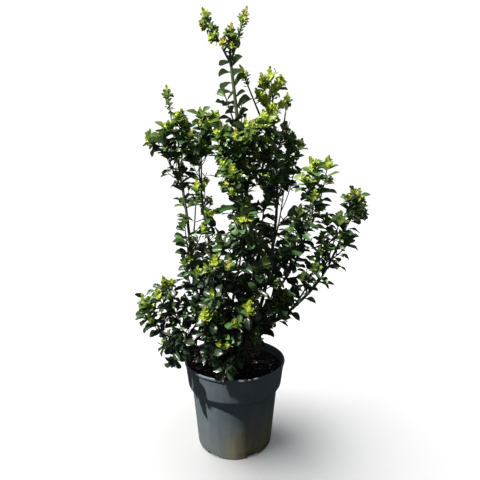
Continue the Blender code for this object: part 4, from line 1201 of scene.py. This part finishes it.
class HOLLY_OT_plant(bpy.types.Operator):
    """Grows the stems, twigs and leaves"""

    bl_idname = "holly.grow_plant"
    bl_label = "Grow plant"

    def grow_stems(self, stems, settings):
        rng = random.Random(21)
        copies = []
        for name, stem in stems.items():
            if name == "stem_foot":
                shape = tube(stem, 30, rng, 0.10, 0.16)
                ages = np.full(len(shape[0]), 1.0)
            else:
                shape = tube(stem, 12, rng, 0.16)
                heights = shape[0][:, 2]
                ages = np.clip(1.05 - (heights - 0.20) / 0.42, 0.05, 1.0)
            copies.append((*shape, ages))
        bark = bark_material("stem_bark", settings.old_bark, settings.young_bark)
        return finish_piece(joined("stems", copies, bark, "bark_age"), "stem_bark", *stems), bark

    def grow_masses(self, stems, sprays, settings):
        """Shoots and twigs of every mass, with their leaves in the sprays."""
        twig_copies = []
        for number, (name, (limb, share, tip, spread)) in enumerate(MASSES.items()):
            rng = random.Random(400 + number)
            shoot = plan_shoot(stems[limb], share, tip, spread)
            if tip[2] < 0.45:
                kinds = ("old", "old", "old", "grown" if tip[2] > 0.30 else "old")
            elif tip[2] < 0.60:
                kinds = ("old", "old", "grown", "grown")
            else:
                kinds = ("old", "old", "grown", "grown")
            bright = tip[2] > 0.55 and spread > 0.6
            crest = tip[2] > 0.80 and spread > 0.6
            slender = tip[2] > 0.80 and spread < 0.60
            thick = tip[0] < -0.02 and tip[2] > 0.68 and spread > 0.6
            bare = spread <= BARE_SPREAD and not slender
            size = SLENDER_LEAF if slender else settings.length * (0.82 + 0.18 * spread)
            size *= 0.86 if tip[2] < 0.45 else 1.0
            spacing = settings.spacing * (0.24 if slender else 1.0)
            young = 0.0130 if slender else float(np.interp(tip[2], (0.35, 0.62), (0.0155, 0.0135)))
            packed = round(np.interp(tip[2], (0.35, 0.62), (0.75, 1.5)) * settings.rosette_leaves)
            green = 1.0
            if crest:
                young = 0.0160
                packed = settings.rosette_leaves
                green = 0.3
            lowest = float(np.interp(shoot.lengths[-1], (0.07, 0.10, 0.15, 0.17), (0.06, 0.40, 0.40, 0.78)))
            lowest = lowest if slender else 0.06
            count = round(shoot.lengths[-1] * (0.95 - lowest) / spacing)
            if slender:
                kinds = ("grown", "fresh", "fresh")
            elif crest:
                kinds = ("new",)
                size = 0.018
            elif bright and tip[2] > 0.62:
                kinds = ("old", "grown", "grown", "fresh")
            ranked = 0.40 < spread <= 0.75 and tip[2] < 0.66 and abs(tip[0]) > OUTER_REACH
            highest = 0.76 if name in SHOWY else 0.92
            leaf_up(shoot, np.linspace(lowest, highest, count), sprays, kinds, size, rng, lean=50 if slender else 64,
                    hang=-HANG if ranked else 0.0)
            if not bare:
                wide = SHOWY.get(name, 1.35 if bright or abs(tip[0]) > 0.18 else 1.0)
                wide = 1.0 if crest or name in SHADED else wide
                # A shaded tip rosette takes the darker fresh green, a painted shade
                tint = "fresh" if name in SHADED else tint_at(tip, rng)
                if name in SHOWY:
                    rosette(shoot, sprays, tint, young * min(wide, 1.2), rng, round(packed * wide * 1.6),
                            0.022 * wide, 60, 0.35)
                else:
                    rosette(shoot, sprays, tint, young * wide, rng, round(packed * wide), 0.026,
                            80 if slender else float(np.interp(tip[2], (0.35, 0.62), (46, 66))), green)
            if slender:
                shoot.radii *= 1.35
            twig_copies.append((*tube(shoot, 7, rng, 0.10), 0.35))
            finer = plan_twigs(shoot, spread, 0.034 if ranked else 0.020 if crest else 0.012 if thick else 0.015, rng)
            for side_name, side_share, side_tip in SIDE_SHOOTS:
                if side_name == name:
                    side = plan_side_shoot(shoot, side_share, side_tip)
                    hanging = side_tip[2] < 0.235
                    count = round(side.lengths[-1] / spacing * (1.8 if thick or hanging else 1.0))
                    leaf_up(side, np.linspace(0.15, 0.90, count), sprays, kinds, size * 0.9, rng)
                    if hanging:
                        twig_copies.append((*tube(side, 6, rng), 0.25))
                        continue
                    # Side shoots low on their mass lie in its shade, and their rosettes take the darker fresh green, a
                    # painted shade
                    shady = side_share < 0.36 and side_tip[2] < 0.55
                    tint = "fresh" if shady else tint_at(side_tip, rng)
                    rosette(side, sprays, tint, young, rng, packed, 0.022,
                            float(np.interp(tip[2], (0.35, 0.62), (46, 66))), green)
                    twig_copies.append((*tube(side, 6, rng), 0.25))
            for order, twig in enumerate(finer):
                if in_opening(twig.points[-1]):
                    continue
                upper = order > (0.0 if crest else 0.4 if bright else 0.6) * len(finer)
                count = max(2, round(twig.lengths[-1] / (spacing * (0.7 if bright else 0.9))))
                leaf_up(twig, np.linspace(0.25, 0.90, count), sprays, kinds, size * (0.66 if bright else 0.86), rng)
                if rng.random() < (0.9 if upper and bright else 0.5 if upper else 0.25):
                    tint = tint_at(tip, rng) if rng.random() < (0.8 if upper else 0.3) else "fresh"
                    rosette(twig, sprays, tint, rng.uniform(0.75, 1.1) * young, rng, packed // 2 + 2, 0.014,
                            green=green)
                twig_copies.append((*tube(twig, 5, rng), 0.15))
        return twig_copies

    def leaf_limbs(self, stems, sprays, settings, twigs):
        for name in LIMBS:
            stem = stems[name]
            rng = random.Random(name)
            count = round(stem.lengths[-1] * 0.75 / (settings.spacing * 1.25))
            shares = np.linspace(0.24, 0.99, count)
            places = np.array([stem.at(share)[0] for share in shares])
            upper = places[:, 2] > BARE_HEIGHT
            outer = (np.abs(places[:, 0]) > OUTER_REACH) & ~upper
            leaf_up(stem, shares[~upper & ~outer], sprays, ("old", "grown"), settings.length * 0.9, rng, lean=72)
            leaf_up(stem, shares[outer], sprays, ("old", "grown"), settings.length, rng, lean=64, roll=20,
                    hang=-HANG)
            leaf_up(stem, shares[upper], sprays, ("old", "grown"), settings.length * 1.25, rng, lean=80, roll=12,
                    hang=0.6 * HANG)
            twigs += self.grow_spurs(stem, sprays, settings, rng)

    def grow_spurs(self, stem, sprays, settings, rng):
        """Short leafy spurs low on a limb, which make the heart of the crown dark and dense."""
        spurs = []
        turn = rng.uniform(0, math.tau)
        for share in np.arange(0.16, 0.90, SPUR_SPACING / stem.lengths[-1]):
            turn += GOLDEN_ANGLE
            place, direction = stem.at(share)
            if place[2] > SPUR_HEIGHT or abs(place[0]) > SPUR_REACH:
                break
            first, second = side_axes(direction)
            out = math.cos(turn) * first + math.sin(turn) * second
            end = place + rng.uniform(0.7, 1.2) * SPUR_LENGTH * unit(out + 0.55 * direction)
            spur = Stem(bent_path(place, place + 0.3 * (end - place), end, 3), np.full(4, 0.0009))
            leaf_up(spur, np.linspace(0.35, 1.0, 5), sprays, ("old",), settings.length * 0.85, rng)
            spurs.append((*tube(spur, 4, rng), 0.6))
        return spurs

    def execute(self, context):
        stem_settings, leaf_settings = context.scene.holly_stem, context.scene.holly_leaf
        stems = plan_limbs(stem_settings, context.scene.holly_soil.level)
        _, bark = self.grow_stems(stems, stem_settings)
        sprays = Sprays(leaf_settings)
        twigs = self.grow_masses(stems, sprays, leaf_settings)
        self.leaf_limbs(stems, sprays, leaf_settings, twigs)
        finish_piece(joined("twigs", twigs, bark, "bark_age"), "stem_bark")
        greens = {
            "old": (leaf_settings.old_green, (0.055, 0.080, 0.042), (0.050, 0.090, 0.032), 0.38, 0.35, 0.08),
            "grown": (leaf_settings.grown_green, (0.110, 0.150, 0.070), (0.100, 0.150, 0.050), 0.38, 0.30, 0.18),
            "fresh": (leaf_settings.fresh_green, (0.210, 0.300, 0.090), (0.220, 0.280, 0.080), 0.42, 0.20, 0.36),
            "new": (leaf_settings.new_green, (0.560, 0.660, 0.130), (0.720, 0.790, 0.160), 0.50, 0.06, 0.50),
            "blush": (leaf_settings.blush, (0.660, 0.600, 0.220), (0.740, 0.460, 0.110), 0.50, 0.06, 0.50),
        }
        for kind, (upper, under, vein, roughness, coat, glow) in greens.items():
            material = leaf_material(f"{kind}_leaf", upper, under, vein, roughness, coat, glow)
            rows = sprays.rows[kind]
            print("LEAVES", kind, len(rows))
            finish_piece(joined(f"leaves_{kind}", sprays.copies(kind), material, "leaf_tone"),
                                     "leaf_foliage")
        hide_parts(*MASSES)
        return {"FINISHED"}


class HOLLY_OT_stage(bpy.types.Operator):
    """Sets up the pale floor, the light and the camera"""

    bl_idname = "holly.set_stage"
    bl_label = "Set stage"

    def floor(self):
        bm = bmesh.new()
        bmesh.ops.create_grid(bm, x_segments=1, y_segments=1, size=30.0)
        mesh = bpy.data.meshes.new("floor")
        bm.to_mesh(mesh)
        bm.free()
        material, wiring, shader = new_material("pale_floor")
        # For the camera the floor is pale; light that bounces off it sees a dim grey
        seen = wiring.node("ShaderNodeLightPath").outputs["Is Camera Ray"]
        wiring.feed(shader, "Base Color", wiring.mix(seen, (0.10, 0.10, 0.10, 1.0), (0.875, 0.86, 0.845, 1.0)))
        shader.inputs["Emission Color"].default_value = (1.0, 1.0, 1.0, 1.0)
        distance = wiring.node("ShaderNodeVectorMath", {"operation": "LENGTH"})
        wiring.feed(distance, "0", wiring.place())
        # For the camera only, the floor also glows: a painted light that lifts the floor and its shadow, weaker near
        # the pot so that a painted shade stays round its foot
        lift = wiring.ramp(distance.outputs["Value"], 0.08, 0.34, 0.06, 0.28)
        wiring.feed(shader, "Emission Strength", wiring.maths("MULTIPLY", seen, lift))
        shader.inputs["Roughness"].default_value = 0.9
        shader.inputs["Specular IOR Level"].default_value = 0.1
        floor = add_object("floor", mesh, material)
        return floor

    def sky(self, settings):
        world = bpy.data.worlds.new("studio")
        bpy.context.scene.world = world
        world.use_nodes = True
        tree = world.node_tree
        wiring = Wiring(tree)
        path = wiring.node("ShaderNodeLightPath").outputs
        background = tree.nodes["Background"]
        wiring.feed(background, "Color", wiring.mix(path["Is Camera Ray"], (0.84, 0.92, 1.0, 1.0), (1.0, 1.0, 1.0, 1.0)))
        direction = wiring.node("ShaderNodeTexCoord").outputs["Generated"]
        height = wiring.node("ShaderNodeSeparateXYZ")
        wiring.feed(height, "0", direction)
        brightness = wiring.ramp(height.outputs[2], -0.1, 1.0, 0.75 * settings.sky_strength,
                                 2.2 * settings.sky_strength)
        bright_side = wiring.node("ShaderNodeVectorMath", {"operation": "DOT_PRODUCT"})
        wiring.feed(bright_side, "0", direction)
        wiring.feed(bright_side, "1", (-0.55, 0.30, 0.78))
        sheen = wiring.ramp(bright_side.outputs["Value"], 0.10, 0.95, 0.0, settings.sheen_strength)
        sheen = wiring.maths("MULTIPLY", sheen, path["Is Glossy Ray"])
        brightness = wiring.maths("ADD", brightness, sheen)
        wiring.feed(background, "Strength", wiring.ramp(path["Is Camera Ray"], 0.0, 1.0, brightness, 1.05))

    def light(self, name, strength, width, tint, side, rise):
        """A distant light from the left, wide ones giving soft shadows."""
        sun = bpy.data.lights.new(name, "SUN")
        sun.energy, sun.angle, sun.color = strength, width, tint
        obj = bpy.data.objects.new(name, sun)
        towards = Vector((-math.sin(side) * math.cos(rise), -math.cos(side) * math.cos(rise), math.sin(rise)))
        obj.rotation_euler = towards.to_track_quat("Z", "Y").to_euler()
        bpy.context.scene.collection.objects.link(obj)
        return obj

    def lights(self, settings, floor):
        """A crisp light for the plant, and a soft one of the same side for the floor."""
        only_floor = bpy.data.collections.new("lit_by_soft_light")
        only_floor.objects.link(floor)
        all_but_floor = bpy.data.collections.new("lit_by_key_light")
        all_but_floor.objects.link(floor)
        all_but_floor.collection_objects[0].light_linking.link_state = "EXCLUDE"
        key = self.light("key_light", settings.sun_strength, math.radians(1.6), (1.0, 0.965, 0.90),
                         settings.sun_side, settings.sun_elevation)
        key.light_linking.receiver_collection = all_but_floor
        soft = self.light("soft_light", 3.55, math.radians(80), (1.0, 1.0, 1.0), math.radians(101), math.radians(48))
        soft.light_linking.receiver_collection = only_floor
        pot_only = bpy.data.collections.new("shades_the_floor")
        pot_only.objects.link(bpy.data.objects["pot_shell"])
        soft.light_linking.blocker_collection = pot_only

    def camera(self, settings):
        data = bpy.data.cameras.new("camera")
        data.lens = settings.lens
        data.sensor_width = 36.0
        data.clip_start = 0.02
        obj = bpy.data.objects.new("camera", data)
        obj.location = VIEWPOINT
        obj.rotation_euler = (math.radians(90) - settings.camera_pitch, 0.0, 0.0)
        bpy.context.scene.collection.objects.link(obj)
        bpy.context.scene.camera = obj

    def execute(self, context):
        settings = context.scene.holly_stage
        floor = self.floor()
        self.sky(settings)
        self.lights(settings, floor)
        self.camera(settings)
        context.scene.view_settings.view_transform = "Standard"
        return {"FINISHED"}


class HOLLY_PT_parts(bpy.types.Panel):
    bl_idname = "HOLLY_PT_parts"
    bl_label = "Potted holly"
    bl_space_type = "VIEW_3D"
    bl_region_type = "UI"
    bl_category = "Holly"

    def draw(self, context):
        for operator in OPERATORS:
            self.layout.operator(operator.bl_idname)
        for name, group in SETTINGS.items():
            column = self.layout.column(heading=group.__name__)
            for key in group.__annotations__:
                column.prop(getattr(context.scene, name), key)


OPERATORS = (HOLLY_OT_pot, HOLLY_OT_soil, HOLLY_OT_litter, HOLLY_OT_plant, HOLLY_OT_stage)
SETTINGS = {
    "holly_pot": PotSettings,
    "holly_soil": SoilSettings,
    "holly_stem": StemSettings,
    "holly_leaf": LeafSettings,
    "holly_stage": StageSettings,
}


def register():
    for cls in (*SETTINGS.values(), *OPERATORS, HOLLY_PT_parts):
        bpy.utils.register_class(cls)
    for name, group in SETTINGS.items():
        setattr(bpy.types.Scene, name, PointerProperty(type=group))


def unregister():
    for name in SETTINGS:
        delattr(bpy.types.Scene, name)
    for cls in (HOLLY_PT_parts, *reversed(OPERATORS), *SETTINGS.values()):
        bpy.utils.unregister_class(cls)


def main():
    register()
    make_grime_group()
    make_blade_group()
    make_bark_group()
    bpy.ops.holly.build_pot()
    bpy.ops.holly.build_soil()
    bpy.ops.holly.scatter_litter()
    bpy.ops.holly.grow_plant()
    bpy.ops.holly.set_stage()


if __name__ == "__main__":
    main()
